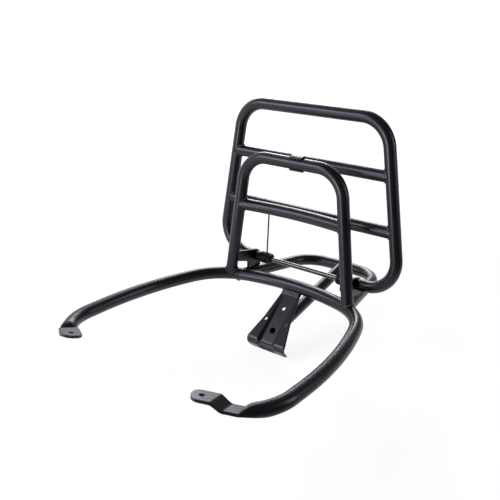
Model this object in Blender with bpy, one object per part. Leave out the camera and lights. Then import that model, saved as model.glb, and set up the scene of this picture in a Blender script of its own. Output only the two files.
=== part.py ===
import math
from collections import namedtuple

import bpy
import numpy as np

# Folding rear rack for a scooter, in metres with +Z up.
# +Y points to the rear of the scooter and X runs across it.
# The origin is the middle of the tail bracket's bolt face, between its two bolt holes.

# Tube stock and the clearances that all pieces share
TUBE_DIAMETER = 0.016
TUBE_WALL = 0.0015
WELD_GAP = 0.0003
RUNNING_GAP = 0.0003
CUT_OVERRUN = 0.006
BORE_END_OVERRUN = 0.012
TUBE_SIDES = 16
BORE_SIDES = 12
BEND_STEP = math.radians(9)

# Horseshoe base tube: place of its rear middle behind and above the bolt face, then its bends
BASE_REAR_Y = 0.03675
BASE_Z = 0.03915
REAR_BOW_RADIUS = 0.305
REAR_BOW_TURN = math.radians(15.5)
BASE_CORNER_RADIUS = 0.084
BASE_CORNER_TURN = math.radians(55)
SIDE_BOW_RADIUS = 0.455
SIDE_BOW_TURN = math.radians(19.5)
SIDE_STRAIGHT = 0.0204
CURL_RADIUS = 0.068
CURL_TURN = math.radians(61)

# Flattened and joggled ends of the base tube
FLAT_WIDTH = 0.0246
FLAT_THICKNESS = 0.004
FLAT_LIFT = 0.002
FLAT_ROLL = math.radians(12)
FLATTEN_RUN = 0.018
FLAT_RUN = 0.019
JOGGLE_AFTER_CURL = 0.0005
JOGGLE_RUN = 0.011
JOGGLE_RISE = 0.0093
JOGGLE_SKEW = math.radians(18)
TAB_LENGTH = 0.029
TAB_PITCH = math.radians(8)
TAB_TIP = 0.0113
TAB_TIP_POWER = 2.4
TAB_HOLE_DIAMETER = 0.0068
VENT_DIAMETER = 0.006

# Upright hoop that stands on the base tube, and its bowed crossbar
HOOP_HEIGHT = 0.182
HOOP_TOP_HALF_WIDTH = 0.077
HOOP_SPLAY = math.radians(7.4)
HOOP_CORNER_RADIUS = 0.040
HOOP_TILT = math.radians(2.6)
HOOP_BAR_DROP = 0.072
HOOP_BAR_BOW = 0.0084

# Folding platform: its pivot, outline and crossbars
PIVOT_BEHIND_BASE = 0.0241
PIVOT_ABOVE_BASE = 0.0189
PLATFORM_HEIGHT = 0.2276
PLATFORM_STUB = 0.0098
PLATFORM_SPLAY = math.radians(9.1)
PLATFORM_CORNER_RADIUS = 0.042
PLATFORM_FOOT_RADIUS = 0.042
PLATFORM_TILT = math.radians(1.94)
PLATFORM_END_X = 0.092
UPPER_BAR_BELOW_HOOP = 0.007
LOWER_BAR_HEIGHT = 0.0829

# Support loop behind the base tube, which carries the platform's lower bar when it is folded down
LOOP_REACH = 0.1345
LOOP_DROP = 0.0035
LOOP_TILT = math.radians(3.4)
LOOP_BOW_RADIUS = 0.352
LOOP_BOW_TURN = math.radians(5)
LOOP_CORNER_RADIUS = 0.043
LOOP_SPLAY = math.radians(12.4)

# Hinge lugs, the rod, its bushes, sleeves and springs
LUG_INNER_X = 0.086
LUG_THICKNESS = 0.004
LUG_BOSS_RADIUS = 0.0095
LUG_ARM_REACH = 0.042
LUG_ARM_TOP = 0.0185
LUG_ARM_BOTTOM = 0.003
LUG_FOOT_REACH = 0.0185
LUG_FOOT_DROP = 0.0178
LUG_NOTCH_DROP = 0.0035
LUG_NOTCH_RADIUS = 0.003
ROD_DIAMETER = 0.007
ROD_IN_TUBE = 0.0065
ROD_CHAMFER = 0.0008
BUSH_WALL = 0.0015
BUSH_FLANGE_RADIUS = 0.0075
BUSH_FLANGE_THICKNESS = 0.0014
PLUG_FLANGE_THICKNESS = 0.0014
PLUG_LENGTH = 0.0075
SLEEVE_RADIUS = 0.0060
SLEEVE_INNER_X = 0.058
SLEEVE_COLLAR_RADIUS = 0.0079
SLEEVE_COLLAR_LENGTH = 0.0018
SLEEVE_BACK_RADIUS = 0.0072
SPRING_WIRE = 0.002
SPRING_PITCH = 0.0022
SPRING_COIL_GAP = 0.0004
SPRING_TURNS = 7
SPRING_TURN_POINTS = 11
SPRING_LEG_REACH = 0.024
SPRING_HOOK_START = math.radians(-100)
SPRING_HOOK_END = math.radians(10)

# Tail bracket: a pressed plate with a centre channel, measured along its slope from the bolt face
BRACKET_SLOPE = math.radians(43.7)
BRACKET_THICKNESS = 0.003
BRACKET_BEND_RADIUS = 0.005
BRACKET_TOP = 0.052
BRACKET_NECK = 0.0406
BRACKET_WAIST = 0.0015
BRACKET_BEND = 0.0352
BRACKET_LIP = 0.011
BRACKET_NECK_HALF_WIDTH = 0.0155
BRACKET_WAIST_HALF_WIDTH = 0.0225
BRACKET_FOOT_HALF_WIDTH = 0.0320
CHANNEL_TOP_HALF_WIDTH = 0.0085
CHANNEL_FOOT_HALF_WIDTH = 0.0102
CHANNEL_WALL_WIDTH = 0.0045
CHANNEL_DEPTH = 0.004
BOLT_HOLE_SPACING = 0.0355
SMALL_HOLE_DIAMETER = 0.006
BIG_HOLE_DIAMETER = 0.009
SIDE_HOLE_DIAMETER = 0.005
SIDE_HOLE_ALONG = 0.0045
SIDE_HOLE_X = 0.0178
LIP_CORNER_SHARES = ((0.5, 1.0), (0.85, 0.97), (1.0, 0.88))

# Strut from the rear of the support loop to the back of the tail bracket
STRUT_ALONG_BRACKET = 0.0270

# Moulded clip on the platform's upper bar that grips the hoop from behind
CLIP_CENTRE_X = 0.0085
CLIP_WIDTH = 0.019
CLIP_WALL = 0.0019
CLIP_UPPER_LIP_TURN = math.radians(18)
CLIP_LOWER_LIP_TURN = math.radians(44)
CLIP_BLOCK_REACH = 0.004
CLIP_ARM_HALF_HEIGHT = 0.0045
CLIP_EDGE_RADIUS = 0.0012
CLIP_CRADLE_TOP = math.radians(128)
CLIP_CRADLE_END = math.radians(335)
CLIP_ARC_STEP = math.radians(15)

PRESS_RINGS = 6
JOGGLE_RINGS = 11
TIP_RING_SHARES = (0.0, 0.45, 0.72, 0.88, 0.96, 0.99)
HOLE_SIDES = 16
TURNED_SIDES = 18

TUBE_RADIUS = TUBE_DIAMETER / 2
BORE_RADIUS = TUBE_RADIUS - TUBE_WALL
ROD_RADIUS = ROD_DIAMETER / 2
WIRE_RADIUS = SPRING_WIRE / 2
X = np.array((1.0, 0.0, 0.0))
Y = np.array((0.0, 1.0, 0.0))
Z = np.array((0.0, 0.0, 1.0))

# A run is a bent tube's centre line, symmetric about its middle: where its plane lies, the middle's
# height in that plane, and the bends of one half as pairs of length and right-hand turn.
Run = namedtuple("Run", "origin across up middle parts")


def clear_scene():
    for item in list(bpy.data.objects):
        bpy.data.objects.remove(item, do_unlink=True)


def make_material(name, colour, roughness, metallic):
    material = bpy.data.materials.new(name)
    material.use_nodes = True
    shader = material.node_tree.nodes["Principled BSDF"]
    shader.inputs["Base Color"].default_value = (*colour, 1.0)
    shader.inputs["Roughness"].default_value = roughness
    shader.inputs["Metallic"].default_value = metallic
    return material


def add_mesh(name, points, faces, material=None):
    mesh = bpy.data.meshes.new(name)
    mesh.from_pydata([tuple(point) for point in points], [], faces)
    mesh.update()
    part = bpy.data.objects.new(name, mesh)
    bpy.context.collection.objects.link(part)
    if material:
        mesh.materials.append(material)
        mesh.shade_smooth()
        mesh.set_sharp_from_angle(angle=math.radians(35))
    return part


def as_cutter(part):
    part.hide_render = True
    part.display_type = "WIRE"
    return part


def cut(part, cutter):
    modifier = part.modifiers.new("cut", "BOOLEAN")
    modifier.operation = "DIFFERENCE"
    modifier.solver = "EXACT"
    modifier.object = cutter


def put_origin(part, place):
    # The mesh stays where it is and the object's origin moves to the place
    part.data.transform(_shift(-place))
    part.location = tuple(place)


def _shift(offset):
    from mathutils import Matrix

    return Matrix.Translation(tuple(offset))


def chord_share(turn):
    # Chord of an arc over the arc's length
    half = abs(turn) / 2
    return math.sin(half) / half if half else 1.0


def run_point(run, distance):
    # Point and heading at a distance along one half; past its end the run goes straight on
    across, height, heading = 0.0, run.middle, 0.0
    side = -1.0 if distance < 0 else 1.0
    left = abs(distance)
    for length, turn in run.parts:
        step = min(left, length)
        bend = turn * step / length
        chord = step * chord_share(bend)
        across += chord * math.cos(heading - bend / 2)
        height += chord * math.sin(heading - bend / 2)
        heading -= bend
        left -= step
    across += left * math.cos(heading)
    height += left * math.sin(heading)
    return side * across, height, side * heading


def run_length(run):
    return sum(length for length, _ in run.parts)


def run_stations(run, overrun=0.0):
    # Distances along one half where the tube needs a ring; a straight middle needs none
    stations = [0.0]
    for length, turn in run.parts:
        steps = max(1, math.ceil(abs(turn) / BEND_STEP))
        stations += list(stations[-1] + length * np.arange(1, steps + 1) / steps)
    stations[-1] += overrun
    return stations if run.parts[0][1] else stations[1:]


def mirrored(stations):
    return [-s for s in reversed(stations) if s] + list(stations)


def run_place(run, across, height):
    return run.origin + across * run.across + height * run.up


def ring_angles(sides):
    return 2 * math.pi * (np.arange(sides) + 0.5) / sides


def round_ring(radius, sides):
    angles = ring_angles(sides)
    return radius * np.cos(angles), radius * np.sin(angles)


def sweep(run, stations, rings):
    # Points of one ring for each station; a ring is given as offsets to the left and out of the plane
    out = np.cross(run.across, run.up)
    points = []
    for station, (left, lift) in zip(stations, rings):
        across, height, heading = run_point(run, station)
        side = -math.sin(heading) * run.across + math.cos(heading) * run.up
        centre = run_place(run, across, height)
        points.append(centre + np.outer(left, side) + np.outer(lift, out))
    return np.concatenate(points)


def tube_faces(rings, sides):
    faces = [list(range(sides - 1, -1, -1))]
    for ring in range(rings - 1):
        for side in range(sides):
            after = (side + 1) % sides
            low, high = ring * sides, (ring + 1) * sides
            faces.append([low + side, low + after, high + after, high + side])
    last = (rings - 1) * sides
    faces.append([last + side for side in range(sides)])
    return faces


def add_sweep(name, run, radius, sides, overrun=0.0, material=None):
    stations = mirrored(run_stations(run, overrun))
    points = sweep(run, stations, [round_ring(radius, sides)] * len(stations))
    return add_mesh(name, points, tube_faces(len(stations), sides), material)


def grown(name, run, overrun=0.0):
    # Cutter that leaves the welding gap round a tube
    radius = TUBE_RADIUS + WELD_GAP
    return as_cutter(add_sweep(name + "_clearance", run, radius, TUBE_SIDES, overrun))


def add_tube(name, run, material, copes=()):
    part = add_sweep(name, run, TUBE_RADIUS, TUBE_SIDES, 0.0, material)
    bore = add_sweep(name + "_bore", run, BORE_RADIUS, BORE_SIDES, BORE_END_OVERRUN)
    cut(part, as_cutter(bore))
    for cope in copes:
        cut(part, cope)
    return part


def corner_tangent(radius, turn):
    return radius * math.tan(turn / 2)


def base_run():
    tail = JOGGLE_AFTER_CURL + JOGGLE_RUN + TAB_LENGTH
    parts = (
        (REAR_BOW_RADIUS * REAR_BOW_TURN, REAR_BOW_TURN),
        (BASE_CORNER_RADIUS * BASE_CORNER_TURN, BASE_CORNER_TURN),
        (SIDE_BOW_RADIUS * SIDE_BOW_TURN, SIDE_BOW_TURN),
        (SIDE_STRAIGHT, 0.0),
        (CURL_RADIUS * CURL_TURN, CURL_TURN),
        (tail, 0.0),
    )
    return Run(BASE_Z * Z, X, Y, BASE_REAR_Y, parts)


def crossing_distance(run, across):
    # Distance along a half where the run reaches this far across, found by halving
    low, high = 0.0, run_length(run)
    reach = [run_point(run, s)[0] for s in run_stations(run)]
    high = run_stations(run)[int(np.argmax(np.array(reach) >= across))]
    for _ in range(40):
        middle = (low + high) / 2
        if run_point(run, middle)[0] < across:
            low = middle
        else:
            high = middle
    return high


def hoop_foot_half_width():
    return HOOP_TOP_HALF_WIDTH + HOOP_HEIGHT * math.tan(HOOP_SPLAY)


def hoop_run():
    base = base_run()
    foot_y = run_point(base, crossing_distance(base, hoop_foot_half_width()))[1]
    up = math.cos(HOOP_TILT) * Z + math.sin(HOOP_TILT) * Y
    turn = math.pi / 2 - HOOP_SPLAY
    tangent = corner_tangent(HOOP_CORNER_RADIUS, turn)
    parts = (
        (HOOP_TOP_HALF_WIDTH - tangent, 0.0),
        (HOOP_CORNER_RADIUS * turn, turn),
        (HOOP_HEIGHT / math.cos(HOOP_SPLAY) - tangent, 0.0),
    )
    return Run(foot_y * Y + BASE_Z * Z, X, up, HOOP_HEIGHT, parts)


def hoop_bar_run():
    hoop = hoop_run()
    half = HOOP_TOP_HALF_WIDTH + HOOP_BAR_DROP * math.tan(HOOP_SPLAY)
    radius = (half**2 + HOOP_BAR_BOW**2) / (2 * HOOP_BAR_BOW)
    turn = math.asin(half / radius)
    centre = run_place(hoop, 0.0, HOOP_HEIGHT - HOOP_BAR_DROP)
    behind = np.cross(hoop.up, X)
    return Run(centre, X, behind, HOOP_BAR_BOW, ((radius * turn, turn),))


def pivot_place():
    return (BASE_REAR_Y + PIVOT_BEHIND_BASE) * Y + (BASE_Z + PIVOT_ABOVE_BASE) * Z


def platform_up():
    return math.cos(PLATFORM_TILT) * Z + math.sin(PLATFORM_TILT) * Y


def upper_bar_height():
    # Just below the hoop's top, so that the clip reaches both
    top = run_place(hoop_run(), 0.0, HOOP_HEIGHT)[2] - UPPER_BAR_BELOW_HOOP
    return (top - pivot_place()[2]) / math.cos(PLATFORM_TILT)


def platform_foot_turn():
    return math.pi / 2 + PLATFORM_SPLAY


def platform_half_width(height):
    foot = PLATFORM_END_X + PLATFORM_STUB + corner_tangent(PLATFORM_FOOT_RADIUS, platform_foot_turn())
    return foot - height * math.tan(PLATFORM_SPLAY)


def platform_run():
    top_turn = math.pi / 2 - PLATFORM_SPLAY
    foot_turn = platform_foot_turn()
    top_tangent = corner_tangent(PLATFORM_CORNER_RADIUS, top_turn)
    foot_tangent = corner_tangent(PLATFORM_FOOT_RADIUS, foot_turn)
    parts = (
        (platform_half_width(PLATFORM_HEIGHT) - top_tangent, 0.0),
        (PLATFORM_CORNER_RADIUS * top_turn, top_turn),
        (PLATFORM_HEIGHT / math.cos(PLATFORM_SPLAY) - top_tangent - foot_tangent, 0.0),
        (PLATFORM_FOOT_RADIUS * foot_turn, foot_turn),
        (PLATFORM_STUB, 0.0),
    )
    return Run(pivot_place(), X, platform_up(), PLATFORM_HEIGHT, parts)


def platform_bar_run(height):
    centre = pivot_place() + height * platform_up()
    return Run(centre, X, platform_up(), 0.0, ((platform_half_width(height), 0.0),))


def loop_run():
    corner_turn = math.pi / 2 - LOOP_SPLAY - LOOP_BOW_TURN
    bends = (
        (LOOP_BOW_RADIUS * LOOP_BOW_TURN, LOOP_BOW_TURN),
        (LOOP_CORNER_RADIUS * corner_turn, corner_turn),
    )
    back = math.cos(LOOP_TILT) * Y - math.sin(LOOP_TILT) * Z
    bent = Run(BASE_REAR_Y * Y + (BASE_Z - LOOP_DROP) * Z, X, back, LOOP_REACH, bends)
    return bent._replace(parts=(*bends, (leg_length_to_base(bent), 0.0)))


def leg_length_to_base(bent):
    # How far the leg goes on straight before it reaches the base tube's centre line
    base = base_run()
    turn_end = run_length(bent)
    low, high = 0.0, 2 * LOOP_REACH
    for _ in range(40):
        middle = (low + high) / 2
        across, height, _ = run_point(bent, turn_end + middle)
        place = run_place(bent, across, height)
        if place[1] > run_point(base, crossing_distance(base, across))[1]:
            low = middle
        else:
            high = middle
    return high


def tab_stations():
    # Distances along a half of the base tube at which the flattening, joggle and tab change
    run = base_run()
    curl_end = run_length(run) - JOGGLE_AFTER_CURL - JOGGLE_RUN - TAB_LENGTH
    joggle_start = curl_end + JOGGLE_AFTER_CURL
    return joggle_start - FLAT_RUN, joggle_start, joggle_start + JOGGLE_RUN, run_length(run)


def smooth_share(value, low, high):
    share = min(1.0, max(0.0, (value - low) / (high - low)))
    return share * share * (3 - 2 * share)


def flat_ring(half_width, half_height):
    # From a circle to a flat strip with round edges, both at once
    angles = ring_angles(TUBE_SIDES)
    spread = np.clip(np.cos(angles) / math.cos(math.pi / 4), -1, 1)
    left = (half_width - half_height) * spread + half_height * np.cos(angles)
    return left, half_height * np.sin(angles)


def strip_lift(s, left):
    # Height of the pressed strip's middle plane; the folds run askew, and the strip is rolled a little
    flat_start, joggle_start, joggle_end, _ = tab_stations()
    along = s - left * math.tan(JOGGLE_SKEW)
    pressed = smooth_share(s, flat_start - FLATTEN_RUN, flat_start)
    joggle = np.array([smooth_share(a, joggle_start, joggle_end) for a in along])
    climb = np.maximum(0.0, along - joggle_end) * math.tan(TAB_PITCH)
    return pressed * (FLAT_LIFT + left * math.tan(FLAT_ROLL)) + JOGGLE_RISE * joggle + climb


def base_ring(station):
    flat_start, _, _, tip = tab_stations()
    s = abs(station)
    pressed = smooth_share(s, flat_start - FLATTEN_RUN, flat_start)
    half_height = TUBE_RADIUS + pressed * (FLAT_THICKNESS / 2 - TUBE_RADIUS)
    half_width = TUBE_RADIUS + pressed * (FLAT_WIDTH / 2 - TUBE_RADIUS)
    past_hole = max(0.0, s - (tip - TAB_TIP)) / TAB_TIP
    half_width *= max(0.0, 1 - past_hole**TAB_TIP_POWER) ** (1 / TAB_TIP_POWER)
    left, lift = flat_ring(max(half_width, half_height), half_height)
    return left, lift + strip_lift(s, left)


def base_stations():
    run = base_run()
    flat_start, joggle_start, joggle_end, tip = tab_stations()
    press_start = flat_start - FLATTEN_RUN
    skewed = FLAT_WIDTH / 2 * math.tan(JOGGLE_SKEW)
    plain = [s for s in run_stations(run) if s < press_start]
    pressing = list(np.linspace(press_start, flat_start, PRESS_RINGS))
    joggle = list(np.linspace(joggle_start - skewed, joggle_end + skewed, JOGGLE_RINGS))
    end = [tip - TAB_TIP * (1 - share) for share in TIP_RING_SHARES]
    return plain + pressing + joggle + end


def add_base_tube(material):
    run = base_run()
    stations = mirrored(base_stations())
    points = sweep(run, stations, [base_ring(s) for s in stations])
    part = add_mesh("base_tube", points, tube_faces(len(stations), TUBE_SIDES), material)
    cut(part, as_cutter(base_bore(run)))
    for side in (-1, 1):
        cut(part, as_cutter(tab_hole(run, side)))
        cut(part, as_cutter(foot_vent(side)))
    return part


def base_bore(run):
    # The bore ends where the ends are pressed flat
    end = tab_stations()[0] - FLATTEN_RUN
    stations = mirrored([s for s in run_stations(run) if s < end] + [end])
    points = sweep(run, stations, [round_ring(BORE_RADIUS, BORE_SIDES)] * len(stations))
    return add_mesh("base_tube_bore", points, tube_faces(len(stations), BORE_SIDES))


def tab_hole(run, side):
    across, height, _ = run_point(run, side * (run_length(run) - TAB_TIP))
    centre = run_place(run, across, height)
    name = f"tab_hole_{side}"
    return add_rod(name, centre - CUT_OVERRUN * Z, centre + TUBE_DIAMETER * 2 * Z, TAB_HOLE_DIAMETER / 2)


def foot_vent(side):
    # Hidden under each hoop leg: it lets the closed tube breathe while it is welded and coated
    hoop = hoop_run()
    foot = run_place(hoop, side * hoop_foot_half_width(), 0.0)
    return add_rod(f"foot_vent_{side}", foot, foot + TUBE_DIAMETER * Z, VENT_DIAMETER / 2)


def add_rod(name, start, end, radius, sides=HOLE_SIDES, material=None):
    length = float(np.linalg.norm(end - start))
    along = (end - start) / length
    other = X if abs(along @ X) < abs(along @ Z) or abs(along @ X) < math.sqrt(0.5) else Y
    up = np.cross(along, other)
    up /= np.linalg.norm(up)
    run = Run((start + end) / 2, along, up, 0.0, ((length / 2, 0.0),))
    return add_sweep(name, run, radius, sides, 0.0, material)


def add_lathe(name, profile, centre, material):
    # A ring turned about X: the profile is a closed list of places along X and radii
    angles = ring_angles(TURNED_SIDES)
    rings = [
        centre + x * X + radius * (np.outer(np.cos(angles), Y) + np.outer(np.sin(angles), Z))
        for x, radius in profile
    ]
    faces = []
    count = len(profile)
    for i in range(count):
        for k in range(TURNED_SIDES):
            after = (k + 1) % TURNED_SIDES
            low, high = i * TURNED_SIDES, (i + 1) % count * TURNED_SIDES
            faces.append([low + k, low + after, high + after, high + k])
    return add_mesh(name, np.concatenate(rings), faces, material)


def rounded_outline(corners):
    # Polygon from corners given as place and fillet radius
    points = []
    count = len(corners)
    for i, (corner, radius) in enumerate(corners):
        corner = np.array(corner)
        if not radius:
            points.append(corner)
            continue
        before = np.array(corners[i - 1][0]) - corner
        after = np.array(corners[(i + 1) % count][0]) - corner
        before /= np.linalg.norm(before)
        after /= np.linalg.norm(after)
        half = math.acos(float(np.clip(before @ after, -1, 1))) / 2
        centre = corner + (before + after) / np.linalg.norm(before + after) * radius / math.sin(half)
        start = corner + before * radius / math.tan(half) - centre
        end = corner + after * radius / math.tan(half) - centre
        sweep_angle = math.atan2(start[0] * end[1] - start[1] * end[0], float(start @ end))
        steps = max(2, math.ceil(abs(sweep_angle) / math.radians(20)))
        for k in range(steps + 1):
            turn = sweep_angle * k / steps
            cosine, sine = math.cos(turn), math.sin(turn)
            points.append(centre + (cosine * start[0] - sine * start[1], sine * start[0] + cosine * start[1]))
    return np.array(points)


def add_plate(name, outline, origin, x_low, x_high, material=None):
    # A plate of constant outline in Y and Z, from one X to the other
    turned = sum(
        a[0] * b[1] - a[1] * b[0] for a, b in zip(outline, np.roll(outline, -1, axis=0))
    )
    if turned < 0:
        outline = outline[::-1]
    flat = origin + np.outer(outline[:, 0], Y) + np.outer(outline[:, 1], Z)
    count = len(outline)
    points = np.concatenate((flat + x_low * X, flat + x_high * X))
    faces = [list(range(count - 1, -1, -1)), list(range(count, 2 * count))]
    faces += [[i, (i + 1) % count, count + (i + 1) % count, count + i] for i in range(count)]
    return add_mesh(name, points, faces, material)


def boss_tangent():
    # Where a line from the arm's upper front corner touches the boss
    away = math.hypot(LUG_ARM_REACH, LUG_ARM_TOP)
    direction = math.atan2(LUG_ARM_TOP, -LUG_ARM_REACH)
    return direction - math.acos(LUG_BOSS_RADIUS / away)


def lug_outline():
    # Measured from the rod's axis, forwards negative
    start = boss_tangent()
    steps = max(4, math.ceil(start / math.radians(15)))
    boss = [start * (1 - k / steps) for k in range(steps + 1)]
    corners = [((-LUG_ARM_REACH, LUG_ARM_TOP), 0.0)]
    corners += [((LUG_BOSS_RADIUS * math.cos(a), LUG_BOSS_RADIUS * math.sin(a)), 0.0) for a in boss]
    corners += [
        ((LUG_BOSS_RADIUS, -LUG_FOOT_DROP), 0.0),
        ((-LUG_FOOT_REACH, -LUG_FOOT_DROP), 0.0),
        ((-LUG_FOOT_REACH - LUG_NOTCH_RADIUS, -LUG_NOTCH_DROP), LUG_NOTCH_RADIUS),
        ((-LUG_ARM_REACH, LUG_ARM_BOTTOM), 0.0),
    ]
    return rounded_outline(corners)


def bush_outer_radius():
    return ROD_RADIUS + RUNNING_GAP + BUSH_WALL


def add_lug(name, side, copes, material):
    low, high = sorted((side * LUG_INNER_X, side * (LUG_INNER_X + LUG_THICKNESS)))
    part = add_plate(name, lug_outline(), pivot_place(), low, high, material)
    centre = pivot_place()
    reach = LUG_INNER_X + LUG_THICKNESS + CUT_OVERRUN
    start = centre + side * (LUG_INNER_X - CUT_OVERRUN) * X
    hole = add_rod(name + "_hole", start, centre + side * reach * X, bush_outer_radius() + WELD_GAP)
    cut(part, as_cutter(hole))
    for cope in copes:
        cut(part, cope)
    put_origin(part, centre)
    return part


def ring_profile(steps, bore, side):
    # Closed profile from stepped outer sizes, each a start, an end and a radius, with one bore
    start = steps[0][0]
    end = steps[-1][1]
    outer = []
    for low, high, radius in steps:
        outer += [(low, radius), (high, radius)]
    profile = outer + [(end, bore), (start, bore)]
    if side < 0:
        profile = [(-x, radius) for x, radius in reversed(profile)]
    return profile


def add_bush(name, side, material):
    # A flanged bush pressed into the lug from its inner side
    flange_end = LUG_INNER_X - WELD_GAP
    steps = (
        (flange_end - BUSH_FLANGE_THICKNESS, flange_end, BUSH_FLANGE_RADIUS),
        (flange_end, LUG_INNER_X + LUG_THICKNESS, bush_outer_radius()),
    )
    profile = ring_profile(steps, ROD_RADIUS + RUNNING_GAP, side)
    return add_lathe(name, profile, pivot_place(), material)


def add_plug(name, side, material):
    # Closes the end of the platform tube and runs on the rod
    steps = (
        (PLATFORM_END_X - WELD_GAP - PLUG_FLANGE_THICKNESS, PLATFORM_END_X - WELD_GAP, TUBE_RADIUS),
        (PLATFORM_END_X - WELD_GAP, PLATFORM_END_X + PLUG_LENGTH, BORE_RADIUS - WELD_GAP),
    )
    profile = ring_profile(steps, ROD_RADIUS + RUNNING_GAP, side)
    return add_lathe(name, profile, pivot_place(), material)


def spring_mean_radius():
    return SLEEVE_RADIUS + SPRING_COIL_GAP + WIRE_RADIUS


def spring_span():
    # The wire's centre, from beside the sleeve's collar to the last turn
    inner = SLEEVE_INNER_X + SLEEVE_COLLAR_LENGTH + WELD_GAP + WIRE_RADIUS
    return inner, inner + SPRING_TURNS * SPRING_PITCH


def add_sleeve(name, side, material):
    end = LUG_INNER_X - 2 * WELD_GAP - BUSH_FLANGE_THICKNESS
    collar_end = SLEEVE_INNER_X + SLEEVE_COLLAR_LENGTH
    back_start = spring_span()[1] + WIRE_RADIUS + WELD_GAP
    steps = (
        (SLEEVE_INNER_X, collar_end, SLEEVE_COLLAR_RADIUS),
        (collar_end, back_start, SLEEVE_RADIUS),
        (back_start, end, SLEEVE_BACK_RADIUS),
    )
    profile = ring_profile(steps, ROD_RADIUS + RUNNING_GAP, side)
    return add_lathe(name, profile, pivot_place(), material)


def add_pivot_rod(material):
    # A plain rod with chamfered ends that reaches into both ends of the platform tube
    end = PLATFORM_END_X + ROD_IN_TUBE
    shoulder = end - ROD_CHAMFER
    run = Run(pivot_place(), X, Z, 0.0, ((shoulder, 0.0), (ROD_CHAMFER, 0.0)))
    stations = mirrored([shoulder, end])
    radii = [ROD_RADIUS - ROD_CHAMFER, ROD_RADIUS, ROD_RADIUS, ROD_RADIUS - ROD_CHAMFER]
    rings = [round_ring(radius, TURNED_SIDES) for radius in radii]
    points = sweep(run, stations, rings)
    return add_mesh("pivot_rod", points, tube_faces(len(stations), TURNED_SIDES), material)


def spring_points(side):
    # Long leg hooked under the lower bar, a coil round the sleeve, and a short leg on the loop
    inner, outer = spring_span()
    radius = spring_mean_radius()
    pivot = pivot_place()
    bar = pivot + LOWER_BAR_HEIGHT * platform_up()
    hook_radius = TUBE_RADIUS + WELD_GAP + WIRE_RADIUS
    hook = np.linspace(SPRING_HOOK_END, SPRING_HOOK_START, 7)
    points = [
        bar + side * inner * X + hook_radius * (math.cos(a) * Y + math.sin(a) * Z) for a in hook
    ]
    total = 2 * math.pi * (SPRING_TURNS + 1 / 4)
    for k in range(SPRING_TURNS * SPRING_TURN_POINTS + 3):
        share = k / (SPRING_TURNS * SPRING_TURN_POINTS + 2)
        turn = -total * share
        x = inner + (outer - inner) * share
        points.append(pivot + side * x * X + radius * (-math.cos(turn) * Y + math.sin(turn) * Z))
    rest_y = pivot[1] + SPRING_LEG_REACH
    rest_z = loop_height(rest_y) + TUBE_RADIUS + WELD_GAP + WIRE_RADIUS
    points.append(side * outer * X + rest_y * Y + rest_z * Z)
    return points


def loop_height(y):
    # Height of the loop's centre plane at a place behind the base tube
    loop = loop_run()
    return loop.origin[2] - (y - loop.origin[1]) * math.tan(LOOP_TILT)


def add_spring(name, side, material):
    curve = bpy.data.curves.new(name, "CURVE")
    curve.dimensions = "3D"
    curve.bevel_depth = WIRE_RADIUS
    curve.bevel_resolution = 1
    curve.use_fill_caps = True
    spline = curve.splines.new("POLY")
    pivot = pivot_place()
    points = [point - pivot for point in spring_points(side)]
    spline.points.add(len(points) - 1)
    for slot, point in zip(spline.points, points):
        slot.co = (*point, 1.0)
    curve.materials.append(material)
    part = bpy.data.objects.new(name, curve)
    part.location = tuple(pivot)
    bpy.context.collection.objects.link(part)
    return part


def bracket_directions():
    # Down along the slope, and out of the face that meets the scooter
    down = -math.cos(BRACKET_SLOPE) * Y - math.sin(BRACKET_SLOPE) * Z
    face = -math.sin(BRACKET_SLOPE) * Y + math.cos(BRACKET_SLOPE) * Z
    return down, face


def bracket_profile(along):
    # Place and face direction along the slope, round the bend and down the lip
    down, face = bracket_directions()
    past = along - BRACKET_BEND
    if past <= 0:
        return along * down, face
    centre = BRACKET_BEND * down - BRACKET_BEND_RADIUS * face
    turn = min(math.pi / 2, past / BRACKET_BEND_RADIUS)
    facing = math.cos(turn) * face + math.sin(turn) * down
    lip = past - BRACKET_BEND_RADIUS * turn
    return centre + BRACKET_BEND_RADIUS * facing - lip * face, facing


def bracket_rows():
    # Along the slope: distance, half width, channel half width, and how far forward the wings and the
    # channel's floor stand; the channel runs out towards the lip's edge
    length = BRACKET_NECK + BRACKET_BEND
    arc = BRACKET_BEND_RADIUS * math.pi / 2
    rows = []
    for along, half in (
        (-BRACKET_TOP, BRACKET_NECK_HALF_WIDTH),
        (-BRACKET_NECK, BRACKET_NECK_HALF_WIDTH),
        (BRACKET_WAIST, BRACKET_WAIST_HALF_WIDTH),
        (BRACKET_BEND, BRACKET_FOOT_HALF_WIDTH),
    ):
        rows.append((along, half, 0.0))
    for k in range(1, 5):
        rows.append((BRACKET_BEND + arc * k / 4, BRACKET_FOOT_HALF_WIDTH, 0.0))
    for along_share, half_share in LIP_CORNER_SHARES:
        lip_end = BRACKET_BEND + arc + BRACKET_LIP * along_share
        rows.append((lip_end, BRACKET_FOOT_HALF_WIDTH * half_share, along_share))
    full = []
    for along, half, run_out in rows:
        share = min(1.0, max(0.0, (along + BRACKET_NECK) / length))
        channel = CHANNEL_TOP_HALF_WIDTH + (CHANNEL_FOOT_HALF_WIDTH - CHANNEL_TOP_HALF_WIDTH) * share
        full.append((along, half, channel, CHANNEL_DEPTH * share, CHANNEL_DEPTH * run_out))
    return full


def bracket_columns(half, channel, rise, floor):
    # Places across the plate and how far each stands forward of the bolt face
    wall = channel + CHANNEL_WALL_WIDTH
    places = (half, (half + wall) / 2, wall, channel)
    rises = (rise, rise, rise, floor)
    across = [-x for x in places] + [0.0] + list(reversed(places))
    return across, [*rises, floor, *reversed(rises)]


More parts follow.
